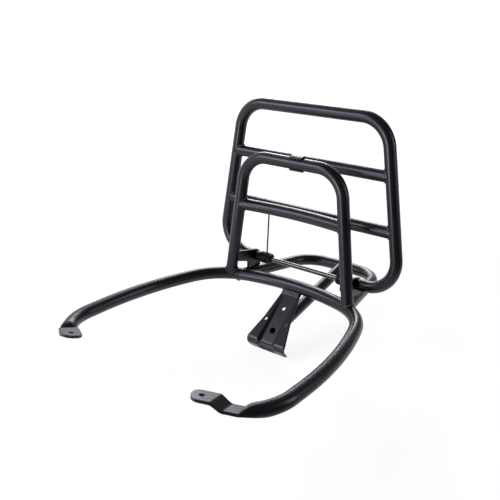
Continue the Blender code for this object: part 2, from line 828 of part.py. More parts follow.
def add_tail_bracket(copes, material):
    front, back = [], []
    for along, *sizes in bracket_rows():
        place, facing = bracket_profile(along)
        for across, forward in zip(*bracket_columns(*sizes)):
            front.append(place + across * X + forward * facing)
            back.append(place + across * X + (forward - BRACKET_THICKNESS) * facing)
    columns = 9
    rows = len(front) // columns
    faces = []
    count = len(front)
    for row in range(rows - 1):
        for column in range(columns - 1):
            a = row * columns + column
            quad = [a, a + columns, a + columns + 1, a + 1]
            lean = int(column < columns // 2)
            faces += split(quad, lean)
            faces += split([count + k for k in reversed(quad)], lean)
    rim = [k for k in range(columns)]
    rim += [row * columns + columns - 1 for row in range(1, rows)]
    rim += [(rows - 1) * columns + k for k in range(columns - 2, -1, -1)]
    rim += [row * columns for row in range(rows - 2, 0, -1)]
    for a, b in zip(rim, rim[1:] + rim[:1]):
        faces.append([a, b, count + b, count + a])
    part = add_mesh("tail_bracket", front + back, faces, material)
    for hole in bracket_holes():
        cut(part, as_cutter(hole))
    for cope in copes:
        cut(part, cope)
    return part


def split(quad, lean):
    # Two triangles, so that a twisted face stays exact when it is cut
    a, b, c, d = quad[lean:] + quad[:lean]
    return [[a, b, c], [a, c, d]]


def bracket_holes():
    down, face = bracket_directions()
    half = BOLT_HOLE_SPACING / 2
    places = (
        ("small_hole", 0.0, -half, SMALL_HOLE_DIAMETER),
        ("big_hole", 0.0, half, BIG_HOLE_DIAMETER),
        ("side_hole_left", -SIDE_HOLE_X, SIDE_HOLE_ALONG, SIDE_HOLE_DIAMETER),
        ("side_hole_right", SIDE_HOLE_X, SIDE_HOLE_ALONG, SIDE_HOLE_DIAMETER),
    )
    reach = CUT_OVERRUN * face
    return [
        add_rod(name, x * X + s * down - reach, x * X + s * down + reach, size / 2)
        for name, x, s, size in places
    ]


def strut_ends():
    return bracket_profile(STRUT_ALONG_BRACKET)[0], run_place(loop_run(), 0.0, LOOP_REACH)


def add_strut(copes, material):
    foot, top = strut_ends()
    length = float(np.linalg.norm(top - foot))
    along = (top - foot) / length
    up = np.cross(along, X)
    run = Run((foot + top) / 2, along, up, 0.0, ((length / 2, 0.0),))
    part = add_tube("bracket_strut", run, material, copes)
    cut(part, as_cutter(bracket_back_block()))
    return part


def bracket_back_block():
    # Everything in front of the channel's back, less the welding gap
    down, face = bracket_directions()
    low = -(BRACKET_THICKNESS + WELD_GAP) * face
    middle = STRUT_ALONG_BRACKET * down + low
    reach = BRACKET_TOP
    corners = []
    for forward in (0.0, reach):
        for along, across in ((-1, -1), (-1, 1), (1, 1), (1, -1)):
            corners.append(middle + along * reach * down + across * reach * X + forward * face)
    faces = [[0, 3, 2, 1], [4, 5, 6, 7], [0, 1, 5, 4], [1, 2, 6, 5], [2, 3, 7, 6], [3, 0, 4, 7]]
    block = add_mesh("bracket_back_block", corners, faces)
    return outward(block)


def outward(part):
    # Turns the faces of a closed mesh so that they all point out
    import bmesh

    shape = bmesh.new()
    shape.from_mesh(part.data)
    bmesh.ops.recalc_face_normals(shape, faces=shape.faces)
    shape.to_mesh(part.data)
    shape.free()
    return part


def arc(centre, radius, start, end):
    # Points on an arc in Y and Z, anticlockwise where the end is the larger angle
    steps = max(1, math.ceil(abs(end - start) / CLIP_ARC_STEP))
    angles = np.linspace(start, end, steps + 1)
    return list(np.array(centre) + radius * np.stack((np.cos(angles), np.sin(angles)), axis=1))


def clip_frame():
    # In Y and Z: the hoop's and the bar's centres, and the way the clip leaves the hoop
    hoop_centre = run_place(hoop_run(), 0.0, HOOP_HEIGHT)[1:]
    bar_centre = (pivot_place() + upper_bar_height() * platform_up())[1:]
    radius = hoop_centre - pivot_place()[1:]
    leave = np.array((radius[1], -radius[0])) / np.linalg.norm(radius)
    return hoop_centre, bar_centre, leave


def clip_outline():
    # Jaws open forwards round the hoop, an arm, and a cradle that the bar snaps into from behind
    hoop_centre, bar_centre, leave = clip_frame()
    out = np.array((-leave[1], leave[0]))
    tilt = math.atan2(leave[1], leave[0])
    seat = TUBE_RADIUS + WELD_GAP
    skin = seat + CLIP_WALL
    lip = CLIP_WALL / 2
    arm = (bar_centre - hoop_centre) / np.linalg.norm(bar_centre - hoop_centre)
    over = CLIP_ARM_HALF_HEIGHT * np.array((-arm[1], arm[0]))
    towards = math.atan2(-arm[1], -arm[0]) % (2 * math.pi)
    meet = math.asin(CLIP_ARM_HALF_HEIGHT / skin)
    upper = tilt + math.pi / 2 + CLIP_UPPER_LIP_TURN
    lower = tilt - math.pi / 2 - CLIP_LOWER_LIP_TURN
    upper_lip = hoop_centre + (seat + lip) * np.array((math.cos(upper), math.sin(upper)))
    lower_lip = hoop_centre + (seat + lip) * np.array((math.cos(lower), math.sin(lower)))
    cradle_top = bar_centre + (seat + lip) * np.array((math.cos(CLIP_CRADLE_TOP), math.sin(CLIP_CRADLE_TOP)))
    cradle_end = bar_centre + (seat + lip) * np.array((math.cos(CLIP_CRADLE_END), math.sin(CLIP_CRADLE_END)))
    behind = hoop_centre + CLIP_BLOCK_REACH * leave
    points = arc(hoop_centre, seat, upper, lower)
    points += arc(lower_lip, lip, lower - math.pi, lower)[1:]
    points += arc(hoop_centre, skin, lower, tilt - math.pi / 2)[1:]
    points += arc(behind - (skin - CLIP_EDGE_RADIUS) * out, CLIP_EDGE_RADIUS, tilt - math.pi / 2, tilt)
    points.append(hoop_centre + skin * arm - over)
    points += arc(bar_centre, skin, towards + meet, CLIP_CRADLE_END)
    points += arc(cradle_end, lip, CLIP_CRADLE_END, CLIP_CRADLE_END + math.pi)[1:]
    points += arc(bar_centre, seat, CLIP_CRADLE_END, CLIP_CRADLE_TOP)[1:]
    points += arc(cradle_top, lip, CLIP_CRADLE_TOP - math.pi, CLIP_CRADLE_TOP)[1:]
    points += arc(bar_centre, skin, CLIP_CRADLE_TOP, towards - meet)[1:]
    points.append(hoop_centre + skin * arm + over)
    points += arc(behind + (skin - CLIP_EDGE_RADIUS) * out, CLIP_EDGE_RADIUS, tilt, tilt + math.pi / 2)
    points += arc(hoop_centre, skin, tilt + math.pi / 2, upper)
    points += arc(upper_lip, lip, upper, upper + math.pi)[1:-1]
    return np.array(points)


def add_clip(material):
    low = CLIP_CENTRE_X - CLIP_WIDTH / 2
    part = add_plate("retaining_clip", clip_outline(), 0.0 * X, low, low + CLIP_WIDTH, material)
    put_origin(part, pivot_place())
    return part


def build_frame(steel, coat):
    base_clear = grown("base_tube", base_run())
    hoop_clear = grown("hoop_tube", hoop_run())
    loop_clear = grown("support_loop", loop_run(), TUBE_DIAMETER)
    add_base_tube(coat("base_tube"))
    add_tube("hoop_tube", hoop_run(), coat("hoop_tube"), (base_clear, loop_clear))
    add_tube("hoop_crossbar", hoop_bar_run(), coat("hoop_crossbar"), (hoop_clear,))
    add_tube("support_loop", loop_run(), coat("support_loop"), (base_clear,))
    add_tail_bracket((base_clear,), coat("tail_bracket"))
    add_strut((loop_clear,), coat("bracket_strut"))
    for name, side in (("left", -1), ("right", 1)):
        lug = "hinge_lug_" + name
        add_lug(lug, side, (hoop_clear, loop_clear), coat(lug))
    add_pivot_rod(steel)


def build_platform(coat):
    platform_clear = grown("platform_tube", platform_run())
    pieces = [
        add_tube("platform_tube", platform_run(), coat("platform_tube")),
        add_tube(
            "platform_upper_crossbar",
            platform_bar_run(upper_bar_height()),
            coat("platform_upper_crossbar"),
            (platform_clear,),
        ),
        add_tube(
            "platform_lower_crossbar",
            platform_bar_run(LOWER_BAR_HEIGHT),
            coat("platform_lower_crossbar"),
            (platform_clear,),
        ),
    ]
    for piece in pieces:
        put_origin(piece, pivot_place())


def build_hinge_parts():
    for name, side in (("left", -1), ("right", 1)):
        bush = make_material("lug_bush_" + name, (0.03, 0.03, 0.032), 0.5, 0.0)
        plug = make_material("platform_end_plug_" + name, (0.03, 0.03, 0.032), 0.5, 0.0)
        sleeve = make_material("spring_sleeve_" + name, (0.025, 0.025, 0.027), 0.5, 0.0)
        wire = make_material("torsion_spring_" + name, (0.06, 0.055, 0.05), 0.35, 0.8)
        add_bush("lug_bush_" + name, side, bush)
        add_plug("platform_end_plug_" + name, side, plug)
        add_sleeve("spring_sleeve_" + name, side, sleeve)
        add_spring("torsion_spring_" + name, side, wire)


def coat(name):
    return make_material(name, (0.028, 0.028, 0.032), 0.38, 0.0)


clear_scene()
build_frame(make_material("pivot_rod", (0.16, 0.14, 0.12), 0.35, 1.0), coat)
build_platform(coat)
build_hinge_parts()
add_clip(make_material("retaining_clip", (0.02, 0.02, 0.022), 0.55, 0.0))
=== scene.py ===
import math

import bmesh
import bpy
import numpy as np
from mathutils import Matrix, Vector


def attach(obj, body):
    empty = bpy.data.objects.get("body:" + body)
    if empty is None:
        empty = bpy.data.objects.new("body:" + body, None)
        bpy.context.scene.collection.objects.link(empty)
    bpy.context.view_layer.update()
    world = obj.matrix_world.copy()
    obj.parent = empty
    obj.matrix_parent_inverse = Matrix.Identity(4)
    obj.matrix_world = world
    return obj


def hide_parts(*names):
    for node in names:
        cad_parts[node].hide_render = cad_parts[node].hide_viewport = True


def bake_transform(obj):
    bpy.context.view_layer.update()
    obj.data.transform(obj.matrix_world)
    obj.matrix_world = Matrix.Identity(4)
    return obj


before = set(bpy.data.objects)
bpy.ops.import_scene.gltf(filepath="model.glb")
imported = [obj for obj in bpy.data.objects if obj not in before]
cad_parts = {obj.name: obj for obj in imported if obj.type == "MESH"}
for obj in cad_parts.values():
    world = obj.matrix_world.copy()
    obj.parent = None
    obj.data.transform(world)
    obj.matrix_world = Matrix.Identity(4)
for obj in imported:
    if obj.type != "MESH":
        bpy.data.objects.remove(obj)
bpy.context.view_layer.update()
print("frame loaded:", len(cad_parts), "pieces")

xAxis = np.array((1.0, 0.0, 0.0))
yAxis = np.array((0.0, 1.0, 0.0))
zAxis = np.array((0.0, 0.0, 1.0))

# The camera, fitted to the photograph: lens in millimetres, place in metres, turns in degrees
view = dict(
    lens=50.4, sensor=36.0, nearClip=0.05,
    place=(0.52006, -0.71984, 0.4461), turn=38.4, down=21.03,
)
cameraData = bpy.data.cameras.new("photoCamera")
cameraData.lens = view["lens"]
cameraData.sensor_width = view["sensor"]
cameraData.clip_start = view["nearClip"]
camera = bpy.data.objects.new("photoCamera", cameraData)
camera.location = view["place"]
camera.rotation_euler = (math.radians(90 - view["down"]), 0.0, math.radians(view["turn"]))
bpy.context.collection.objects.link(camera)
bpy.context.scene.camera = camera
bpy.context.scene.view_settings.view_transform = "Standard"

# Materials: every pattern is read from Object coordinates, in metres
noiseMiddle = (0.35, 0.65)  # the part of a noise's range that colour and roughness are spread over


def newMaterial(name):
    material = bpy.data.materials.new(name)
    material.use_nodes = True
    shader = material.node_tree.nodes["Principled BSDF"]
    return material, material.node_tree.nodes, material.node_tree.links, shader


def noiseNode(nodes, links, coords, scale, detail, stretch=None):
    noise = nodes.new("ShaderNodeTexNoise")
    noise.inputs["Scale"].default_value = scale
    noise.inputs["Detail"].default_value = detail
    if stretch is None:
        links.new(coords.outputs["Object"], noise.inputs["Vector"])
    else:
        mapping = nodes.new("ShaderNodeMapping")
        mapping.inputs["Scale"].default_value = stretch
        links.new(coords.outputs["Object"], mapping.inputs["Vector"])
        links.new(mapping.outputs["Vector"], noise.inputs["Vector"])
    return noise.outputs["Fac"]


def spread(nodes, links, source, low, high):
    # Maps a noise's middle range onto low..high
    ranged = nodes.new("ShaderNodeMapRange")
    ranged.inputs["From Min"].default_value = noiseMiddle[0]
    ranged.inputs["From Max"].default_value = noiseMiddle[1]
    ranged.inputs["To Min"].default_value = low
    ranged.inputs["To Max"].default_value = high
    links.new(source, ranged.inputs["Value"])
    return ranged.outputs["Result"]


def tint(nodes, links, source, dark, light):
    # Runs from the dark to the light colour over a noise's middle range
    ramp = nodes.new("ShaderNodeValToRGB")
    stops = ramp.color_ramp.elements
    stops[0].position, stops[1].position = noiseMiddle
    stops[0].color, stops[1].color = (*dark, 1.0), (*light, 1.0)
    links.new(source, ramp.inputs["Fac"])
    return ramp.outputs["Color"]


def bumpNode(nodes, links, source, strength, height, before=None):
    bump = nodes.new("ShaderNodeBump")
    bump.inputs["Strength"].default_value = strength
    bump.inputs["Distance"].default_value = height
    links.new(source, bump.inputs["Height"])
    if before is not None:
        links.new(before, bump.inputs["Normal"])
    return bump.outputs["Normal"]


def coated(name, look):
    # Powder coat: cloudy colour, a fine orange peel, and roughness that wanders a little
    material, nodes, links, shader = newMaterial(name)
    coords = nodes.new("ShaderNodeTexCoord")
    cloud = noiseNode(nodes, links, coords, look["cloudScale"], detail=3.0)
    peel = noiseNode(nodes, links, coords, look["peelScale"], detail=2.0)
    grain = noiseNode(nodes, links, coords, look["grainScale"], detail=1.0)
    links.new(tint(nodes, links, cloud, look["dark"], look["light"]), shader.inputs["Base Color"])
    links.new(spread(nodes, links, cloud, *look["rough"]), shader.inputs["Roughness"])
    peelBump = bumpNode(nodes, links, peel, look["peel"], height=0.0002)
    grainBump = bumpNode(nodes, links, grain, look["grain"], height=0.00005, before=peelBump)
    links.new(grainBump, shader.inputs["Normal"])
    shader.inputs["Specular IOR Level"].default_value = look["specular"]
    shader.inputs["Specular Tint"].default_value = look["gloss"]
    return material


coatLook = dict(
    dark=(0.0022, 0.0020, 0.0034), light=(0.0036, 0.0033, 0.0052), rough=(0.31, 0.36),
    cloudScale=28.0, peelScale=420.0, grainScale=1800.0, peel=0.0015, grain=0.001,
    specular=0.44, gloss=(0.91, 0.87, 1.0, 1.0),
)
weldLook = dict(
    dark=(0.024, 0.023, 0.027), light=(0.075, 0.072, 0.080), rough=(0.32, 0.44),
    cloudScale=260.0, peelScale=900.0, grainScale=2400.0, peel=0.5, grain=0.2,
    specular=0.4, gloss=(0.95, 0.93, 1.0, 1.0),
)
powderCoat = coated("powderCoat", coatLook)
weldCoat = coated("weldCoat", weldLook)


def drawnSteel(name, look):
    # Bare drawn metal: brown and grey clouds, and streaks that change its roughness and mark it
    material, nodes, links, shader = newMaterial(name)
    coords = nodes.new("ShaderNodeTexCoord")
    streak = noiseNode(nodes, links, coords, look["streakScale"], 4.0, look["stretch"])
    cloud = noiseNode(nodes, links, coords, look["cloudScale"], detail=3.0)
    links.new(tint(nodes, links, cloud, look["dark"], look["light"]), shader.inputs["Base Color"])
    links.new(spread(nodes, links, streak, *look["rough"]), shader.inputs["Roughness"])
    marks = bumpNode(nodes, links, streak, look["marks"], height=0.0001)
    links.new(marks, shader.inputs["Normal"])
    shader.inputs["Metallic"].default_value = 1.0
    return material


rodSteel = drawnSteel("rodSteel", dict(
    dark=(0.060, 0.054, 0.049), light=(0.125, 0.114, 0.104), rough=(0.17, 0.27),
    streakScale=90.0, stretch=(0.25, 6.0, 6.0), cloudScale=60.0, marks=0.08,
))
wireSteel = drawnSteel("wireSteel", dict(
    dark=(0.018, 0.017, 0.017), light=(0.045, 0.042, 0.041), rough=(0.32, 0.5),
    streakScale=300.0, stretch=(1.0, 1.0, 1.0), cloudScale=160.0, marks=0.15,
))


def moulded(name, look):
    # Injection moulded plastic: fine spark-eroded grain
    material, nodes, links, shader = newMaterial(name)
    coords = nodes.new("ShaderNodeTexCoord")
    grain = noiseNode(nodes, links, coords, look["grainScale"], detail=2.0)
    cloud = noiseNode(nodes, links, coords, look["cloudScale"], detail=2.0)
    links.new(tint(nodes, links, cloud, look["dark"], look["light"]), shader.inputs["Base Color"])
    links.new(spread(nodes, links, grain, *look["rough"]), shader.inputs["Roughness"])
    grainBump = bumpNode(nodes, links, grain, look["grain"], height=0.0001)
    links.new(grainBump, shader.inputs["Normal"])
    shader.inputs["Specular IOR Level"].default_value = look["specular"]
    return material


clipPlastic = moulded("clipPlastic", dict(
    dark=(0.006, 0.006, 0.007), light=(0.010, 0.010, 0.012), rough=(0.28, 0.38),
    grainScale=1400.0, cloudScale=70.0, grain=0.12, specular=0.4,
))
bearingPlastic = moulded("bearingPlastic", dict(
    dark=(0.007, 0.007, 0.008), light=(0.012, 0.012, 0.014), rough=(0.38, 0.5),
    grainScale=1600.0, cloudScale=90.0, grain=0.18, specular=0.25,
))
print("materials ready")

# Meshes and surfaces that the pieces share


def smoothed(mesh, sharp=None):
    # Smooth shading, with the edges that turn more than so many degrees kept crisp
    mesh.shade_smooth()
    if sharp is not None:
        mesh.set_sharp_from_angle(angle=math.radians(sharp))


def addMesh(name, points, faces, material, sharp=None):
    mesh = bpy.data.meshes.new(name)
    mesh.from_pydata(points.tolist(), [], faces)
    shape = bmesh.new()
    shape.from_mesh(mesh)
    bmesh.ops.recalc_face_normals(shape, faces=shape.faces)
    shape.to_mesh(mesh)
    shape.free()
    mesh.materials.append(material)
    smoothed(mesh, sharp)
    piece = bpy.data.objects.new(name, mesh)
    bpy.context.collection.objects.link(piece)
    return piece


def gridFaces(rows, columns, closedRows):
    # Quads of a grid whose columns go round; rows close into a ring or get end caps
    index = np.arange(rows * columns).reshape(rows, columns)
    following = np.roll(index, -1, axis=0) if closedRows else index[1:]
    leading = index if closedRows else index[:-1]
    corners = (leading, np.roll(leading, -1, axis=1), np.roll(following, -1, axis=1), following)
    faces = np.stack(corners, axis=-1).reshape(-1, 4).tolist()
    if not closedRows:
        faces += [index[0][::-1].tolist(), index[-1].tolist()]
    return faces


def gridPiece(name, points, material, closedRows=False, sharp=None):
    rows, columns = points.shape[:2]
    faces = gridFaces(rows, columns, closedRows)
    return addMesh(name, points.reshape(-1, 3), faces, material, sharp)


def unit(vectors):
    return vectors / np.linalg.norm(vectors, axis=-1, keepdims=True)


def slopeOf(degrees):
    return np.tan(np.radians(degrees))


def squareTo(way):
    # A unit direction square to a way
    return unit(np.cross(way, xAxis if abs(way[0]) < 0.7 else yAxis))


def roundAngles(count):
    return 2 * np.pi * np.arange(count) / count


def circle(angle, first, second):
    # cos a * first + sin a * second
    return np.outer(np.cos(angle), first) + np.outer(np.sin(angle), second)


def smoothStep(value, low, high):
    share = np.clip((value - low) / (high - low), 0.0, 1.0)
    return share * share * (3 - 2 * share)


def pathReach(points):
    # Length of a path up to each of its points
    gaps = np.linalg.norm(np.diff(points, axis=0), axis=1)
    return np.concatenate(([0.0], np.cumsum(gaps)))


def evenly(points, step):
    # The same path with its points a step apart
    reach = pathReach(points)
    want = np.linspace(0.0, reach[-1], int(reach[-1] / step) + 1)
    return np.stack([np.interp(want, reach, points[:, k]) for k in range(3)], axis=1)


def bentLine(parts, middle, distance):
    # Across, height and heading at signed distances from a bent tube's middle: an arc of length l
    # and turn t has the chord l * sin(t / 2) / (t / 2) along its mean heading
    side = np.where(distance < 0, -1.0, 1.0)
    left = np.abs(distance)
    across, height, heading = np.zeros_like(left), np.full_like(left, middle), np.zeros_like(left)
    for length, turn in parts:
        step = np.minimum(left, length)
        bend = turn * step / length
        chord = step * np.sinc(bend / 2 / np.pi)
        across += chord * np.cos(heading - bend / 2)
        height += chord * np.sin(heading - bend / 2)
        heading -= bend
        left = left - step
    across += left * np.cos(heading)
    height += left * np.sin(heading)
    return side * across, height, side * heading


def lineFrames(line, distance):
    # Centre, sideways direction in the bend's plane, and the direction out of that plane
    across, height, heading = bentLine(line["parts"], line["middle"], distance)
    centre = line["origin"] + np.outer(across, line["across"]) + np.outer(height, line["up"])
    side = np.outer(-np.sin(heading), line["across"]) + np.outer(np.cos(heading), line["up"])
    return centre, side, np.cross(line["across"], line["up"])


def lineLength(line):
    return sum(length for length, turn in line["parts"])


def stationsOf(line, step, overrun=0.0):
    # Signed distances from end to end of a bent tube, a step or less apart
    half = lineLength(line) + overrun
    return np.linspace(-half, half, 2 * int(half / step) + 1)


def roundTube(name, line, step):
    # centre(s) + radius * (cos a * side(s) + sin a * out)
    radius = line.get("radius", tube["radius"])
    centre, side, out = lineFrames(line, stationsOf(line, step))
    angle = roundAngles(tube["sides"])[None, :, None]
    points = centre[:, None] + radius * (np.cos(angle) * side[:, None] + np.sin(angle) * out)
    return gridPiece(name, points, powderCoat)


def wirePiece(name, path, radius, reference, material, sides, closed=False):
    # path(s) + r(s) * (cos a * n1 + sin a * n2), with n1 as near as can be to the reference
    if closed:
        tangent = unit(np.roll(path, -1, axis=0) - np.roll(path, 1, axis=0))
    else:
        tangent = unit(np.gradient(path, axis=0))
    reference = np.broadcast_to(reference, path.shape)
    first = unit(reference - (reference * tangent).sum(1)[:, None] * tangent)
    second = np.cross(tangent, first)
    angle = roundAngles(sides)[None, :, None]
    size = np.broadcast_to(radius, (len(path),))[:, None, None]
    ring = np.cos(angle) * first[:, None] + np.sin(angle) * second[:, None]
    return gridPiece(name, path[:, None] + size * ring, material, closedRows=closed)


def ride(piece, body, slot, *nodes):
    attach(piece, body)
    if nodes:
        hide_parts(*nodes)


def cutBy(piece, cutter):
    # Takes the cutter's solid out of the piece and keeps the result as plain mesh
    modifier = piece.modifiers.new("cut", "BOOLEAN")
    modifier.operation = "DIFFERENCE"
    modifier.solver = "EXACT"
    modifier.object = cutter
    bpy.context.view_layer.update()
    graph = bpy.context.evaluated_depsgraph_get()
    mesh = bpy.data.meshes.new_from_object(piece.evaluated_get(graph))
    piece.modifiers.clear()
    piece.data = mesh
    bpy.data.objects.remove(cutter, do_unlink=True)


def drillPin(place, way, reach, radius):
    # A cylinder that drills a hole, from reach[0] before a place to reach[1] past it:
    # end + radius * (cos a * n1 + sin a * n2)
    start, end = place - reach[0] * way, place + reach[1] * way
    way = unit(end - start)
    other = squareTo(way)
    ring = radius * circle(roundAngles(40), other, np.cross(way, other))
    return gridPiece("pin", np.stack((start + ring, end + ring)), powderCoat)


def breakEdges(piece, width, segments):
    edge = piece.modifiers.new("edge", "BEVEL")
    edge.width = width
    edge.segments = segments
    edge.limit_method = "ANGLE"
    edge.angle_limit = math.radians(40)


# The horseshoe base tube with its pressed, joggled tabs: metres and degrees, a bend as (radius, turn)
tube = dict(radius=0.0083, sides=48, bentStep=0.002, straightStep=0.004)
base = dict(
    radius=0.0090, rearY=0.03675, z=0.03915,
    rearBow=(0.305, 15.5), corner=(0.084, 55.0), sideBow=(0.455, 19.5), straight=0.0204,
    curl=(0.068, 61.0), tailStart=0.0005, joggleRun=0.011, tabLength=0.029,
    flatWidth=0.0246, flatThickness=0.004, flatLift=0.002, flatRun=0.0125, edgeRadius=0.0010,
    flatten=0.013, widen=0.024, underLead=1.3, bowSkew=30.0, stripWidth=0.45, stripPitch=11.0,
    joggleRise=0.0093, tabPitch=8.0, tabTip=0.0113, tipPower=2.4, leastHalf=0.0011,
    holeSize=0.0068, drill=(0.006, 0.032), sharp=50,
)
# Its grid: columns round the tube, drawn towards the corners, and steps that are finer near the tabs
baseGrid = dict(
    sides=64, bunching=0.19, step=0.002, fineStep=0.0006, fineLead=0.004, tipRows=26, tipGap=0.00001,
)
# Each end as it was pressed: skew and roll in degrees, how far it is raised and how much longer
# its ramp is in metres
tabs = dict(
    left=dict(skew=11.0, roll=14.5, raised=0.0030, rampMore=-0.001),
    right=dict(skew=18.0, roll=10.0, raised=0.0, rampMore=0.0050),
)


def arcPart(radius, degrees):
    turn = math.radians(degrees)
    return (radius * turn, turn)


baseLine = dict(
    origin=base["z"] * zAxis, across=xAxis, up=yAxis, middle=base["rearY"], radius=base["radius"],
    parts=(
        arcPart(*base["rearBow"]), arcPart(*base["corner"]), arcPart(*base["sideBow"]),
        (base["straight"], 0.0), arcPart(*base["curl"]),
        (base["tailStart"] + base["joggleRun"] + base["tabLength"], 0.0),
    ),
)
tipAt = lineLength(baseLine)
joggleEnd = tipAt - base["tabLength"]
joggleStart = joggleEnd - base["joggleRun"]
flatStart = joggleStart - base["flatRun"]


def pressedRing(halfWidth, halfHeight, corner, angle):
    # Square-mapped ring: a core rectangle grown by the corner radius, so it runs from a circle
    # to a flat strip
    cosine, sine = np.cos(angle), np.sin(angle)
    largest = np.maximum(np.abs(cosine), np.abs(sine))
    wide, high = cosine / largest * halfWidth, sine / largest * halfHeight
    coreWide = np.clip(wide, corner - halfWidth, halfWidth - corner)
    coreHigh = np.clip(high, corner - halfHeight, halfHeight - corner)
    outWide, outHigh = wide - coreWide, high - coreHigh
    size = np.maximum(np.hypot(outWide, outHigh), 1e-9)
    return coreWide + corner * outWide / size, coreHigh + corner * outHigh / size


def horseshoe():
    # centre(s) + wide(s, a) * side(s) + (high(s, a) + lift(s, a)) * out: wide and high are the
    # pressed ring, and lift is the strip's pitch, the joggle and the tab's own pitch
    fineFrom = flatStart - base["widen"] - baseGrid["fineLead"]
    holeAt = tipAt - base["tabTip"]
    tipAngle = np.linspace(0.0, np.pi / 2, baseGrid["tipRows"])
    oneSide = np.concatenate((
        np.arange(0.0, fineFrom, baseGrid["step"]), np.arange(fineFrom, holeAt, baseGrid["fineStep"]),
        tipAt - base["tabTip"] * np.cos(tipAngle)[:-1], [tipAt - baseGrid["tipGap"]],
    ))
    distance = np.concatenate((-oneSide[:0:-1], oneSide))
    centre, side, out = lineFrames(baseLine, distance)
    reach = np.abs(distance)[:, None]
    plain = 2 * np.pi * (np.arange(baseGrid["sides"]) + 0.5) / baseGrid["sides"]
    angle = (plain + baseGrid["bunching"] * np.sin(4 * plain))[None, :]
    ends = {
        key: np.where(distance < 0, tabs["left"][key], tabs["right"][key])[:, None]
        for key in tabs["left"]
    }
    bow = reach - base["radius"] * np.cos(angle) * slopeOf(base["bowSkew"])
    pressed = np.clip((bow - flatStart + base["flatten"]) / base["flatten"], 0.0, 1.0) ** 2
    pressedUnder = smoothStep(bow, flatStart - base["underLead"] * base["widen"], flatStart)
    widened = smoothStep(bow, flatStart - base["widen"], flatStart) * base["stripWidth"]
    widened = widened + (1 - base["stripWidth"]) * smoothStep(reach, joggleStart, joggleEnd)
    pastHole = np.clip((reach - holeAt) / base["tabTip"], 0.0, 1.0)
    rounding = np.maximum(1 - pastHole ** base["tipPower"], 1e-6) ** (1 / base["tipPower"])
    halfWidth = (base["radius"] + widened * (base["flatWidth"] / 2 - base["radius"])) * rounding
    halfWidth = np.maximum(halfWidth, base["leastHalf"])
    # The die comes down from above: the top drops at a crease, the underside rises gently
    rings = []
    for share in (pressed, pressedUnder):
        halfHeight = base["radius"] + share * (base["flatThickness"] / 2 - base["radius"])
        corner = base["radius"] + share * (base["edgeRadius"] - base["radius"])
        corner = np.minimum(corner, np.minimum(halfHeight, halfWidth))
        rings.append(pressedRing(halfWidth, halfHeight, corner, angle))
    above = np.sin(angle) > 0
    wide, high = (np.where(above, top, under) for top, under in zip(*rings))
    run = reach - wide * slopeOf(ends["skew"])
    strip = np.clip(run - joggleStart, -base["flatRun"], 0.0) * slopeOf(base["stripPitch"])
    joggle = smoothStep(run, joggleStart, joggleEnd + ends["rampMore"])
    lift = pressedUnder * (base["flatLift"] + strip + wide * slopeOf(ends["roll"]))
    lift = lift + (base["joggleRise"] + ends["raised"]) * joggle
    lift = lift + np.maximum(0.0, run - joggleEnd) * slopeOf(base["tabPitch"])
    points = centre[:, None] + wide[..., None] * side[:, None] + (high + lift)[..., None] * out
    piece = gridPiece("horseshoeTube", points, powderCoat)
    for end in (-1, 1):
        hole = lineFrames(baseLine, np.array([end * holeAt]))[0][0]
        cutBy(piece, drillPin(hole, zAxis, base["drill"], base["holeSize"] / 2))
    smoothed(piece.data, base["sharp"])
    return piece


ride(horseshoe(), "frame", "powder_coat", "base_tube")
print("base tube bent")

# The other bent tubes
hoop = dict(
    height=0.182, topHalf=0.077, splay=7.4, corner=0.040, tilt=2.6, barDrop=0.072, barBow=0.0084,
)
platform = dict(
    pivotY=0.06085, pivotZ=0.05805, height=0.2276, stub=0.0098, endX=0.092, splay=9.1,
    corner=0.042, foot=0.042, tilt=1.94, lowerBar=0.0829, upperBelowHoop=0.007,
)
loop = dict(
    radius=0.0086, reach=0.1345, drop=0.0045, tilt=3.4, bow=(0.352, 5.0), corner=0.043,
    splay=12.4, short=0.0045,
)


def tilted(degrees):
    return math.cos(math.radians(degrees)) * zAxis + math.sin(math.radians(degrees)) * yAxis


def baseCentres(reach, count):
    # Places along the base tube's centre line, from the middle of its rear out to a reach
    return lineFrames(baseLine, np.linspace(0.0, reach, count))[0]


def baseReach(across):
    # Where the base tube's centre line is at a distance across, read off its own curve
    centre = baseCentres(0.35, 4000)
    last = int(np.argmax(centre[:, 0]))
    return float(np.interp(across, centre[:last, 0], centre[:last, 1]))


splay = math.radians(hoop["splay"])
hoopTurn = math.pi / 2 - splay
hoopTangent = hoop["corner"] * math.tan(hoopTurn / 2)
hoopFoot = hoop["topHalf"] + hoop["height"] * math.tan(splay)
hoopLine = dict(
    origin=baseReach(hoopFoot) * yAxis + base["z"] * zAxis, across=xAxis, up=tilted(hoop["tilt"]),
    middle=hoop["height"],
    parts=(
        (hoop["topHalf"] - hoopTangent, 0.0), (hoop["corner"] * hoopTurn, hoopTurn),
        (hoop["height"] / math.cos(splay) - hoopTangent, 0.0),
    ),
)
hoopTop = hoopLine["origin"] + hoop["height"] * hoopLine["up"]
barHalf = hoop["topHalf"] + hoop["barDrop"] * math.tan(splay)
barRadius = (barHalf**2 + hoop["barBow"] ** 2) / (2 * hoop["barBow"])
barTurn = math.asin(barHalf / barRadius)
hoopBarLine = dict(
    origin=hoopLine["origin"] + (hoop["height"] - hoop["barDrop"]) * hoopLine["up"], across=xAxis,
    up=np.cross(hoopLine["up"], xAxis), middle=hoop["barBow"],
    parts=((barRadius * barTurn, barTurn),),
)

pivot = np.array((0.0, platform["pivotY"], platform["pivotZ"]))
platformUp = tilted(platform["tilt"])
platformSplay = math.radians(platform["splay"])
topTurn, footTurn = math.pi / 2 - platformSplay, math.pi / 2 + platformSplay
footTangent = platform["foot"] * math.tan(footTurn / 2)
topTangent = platform["corner"] * math.tan(topTurn / 2)


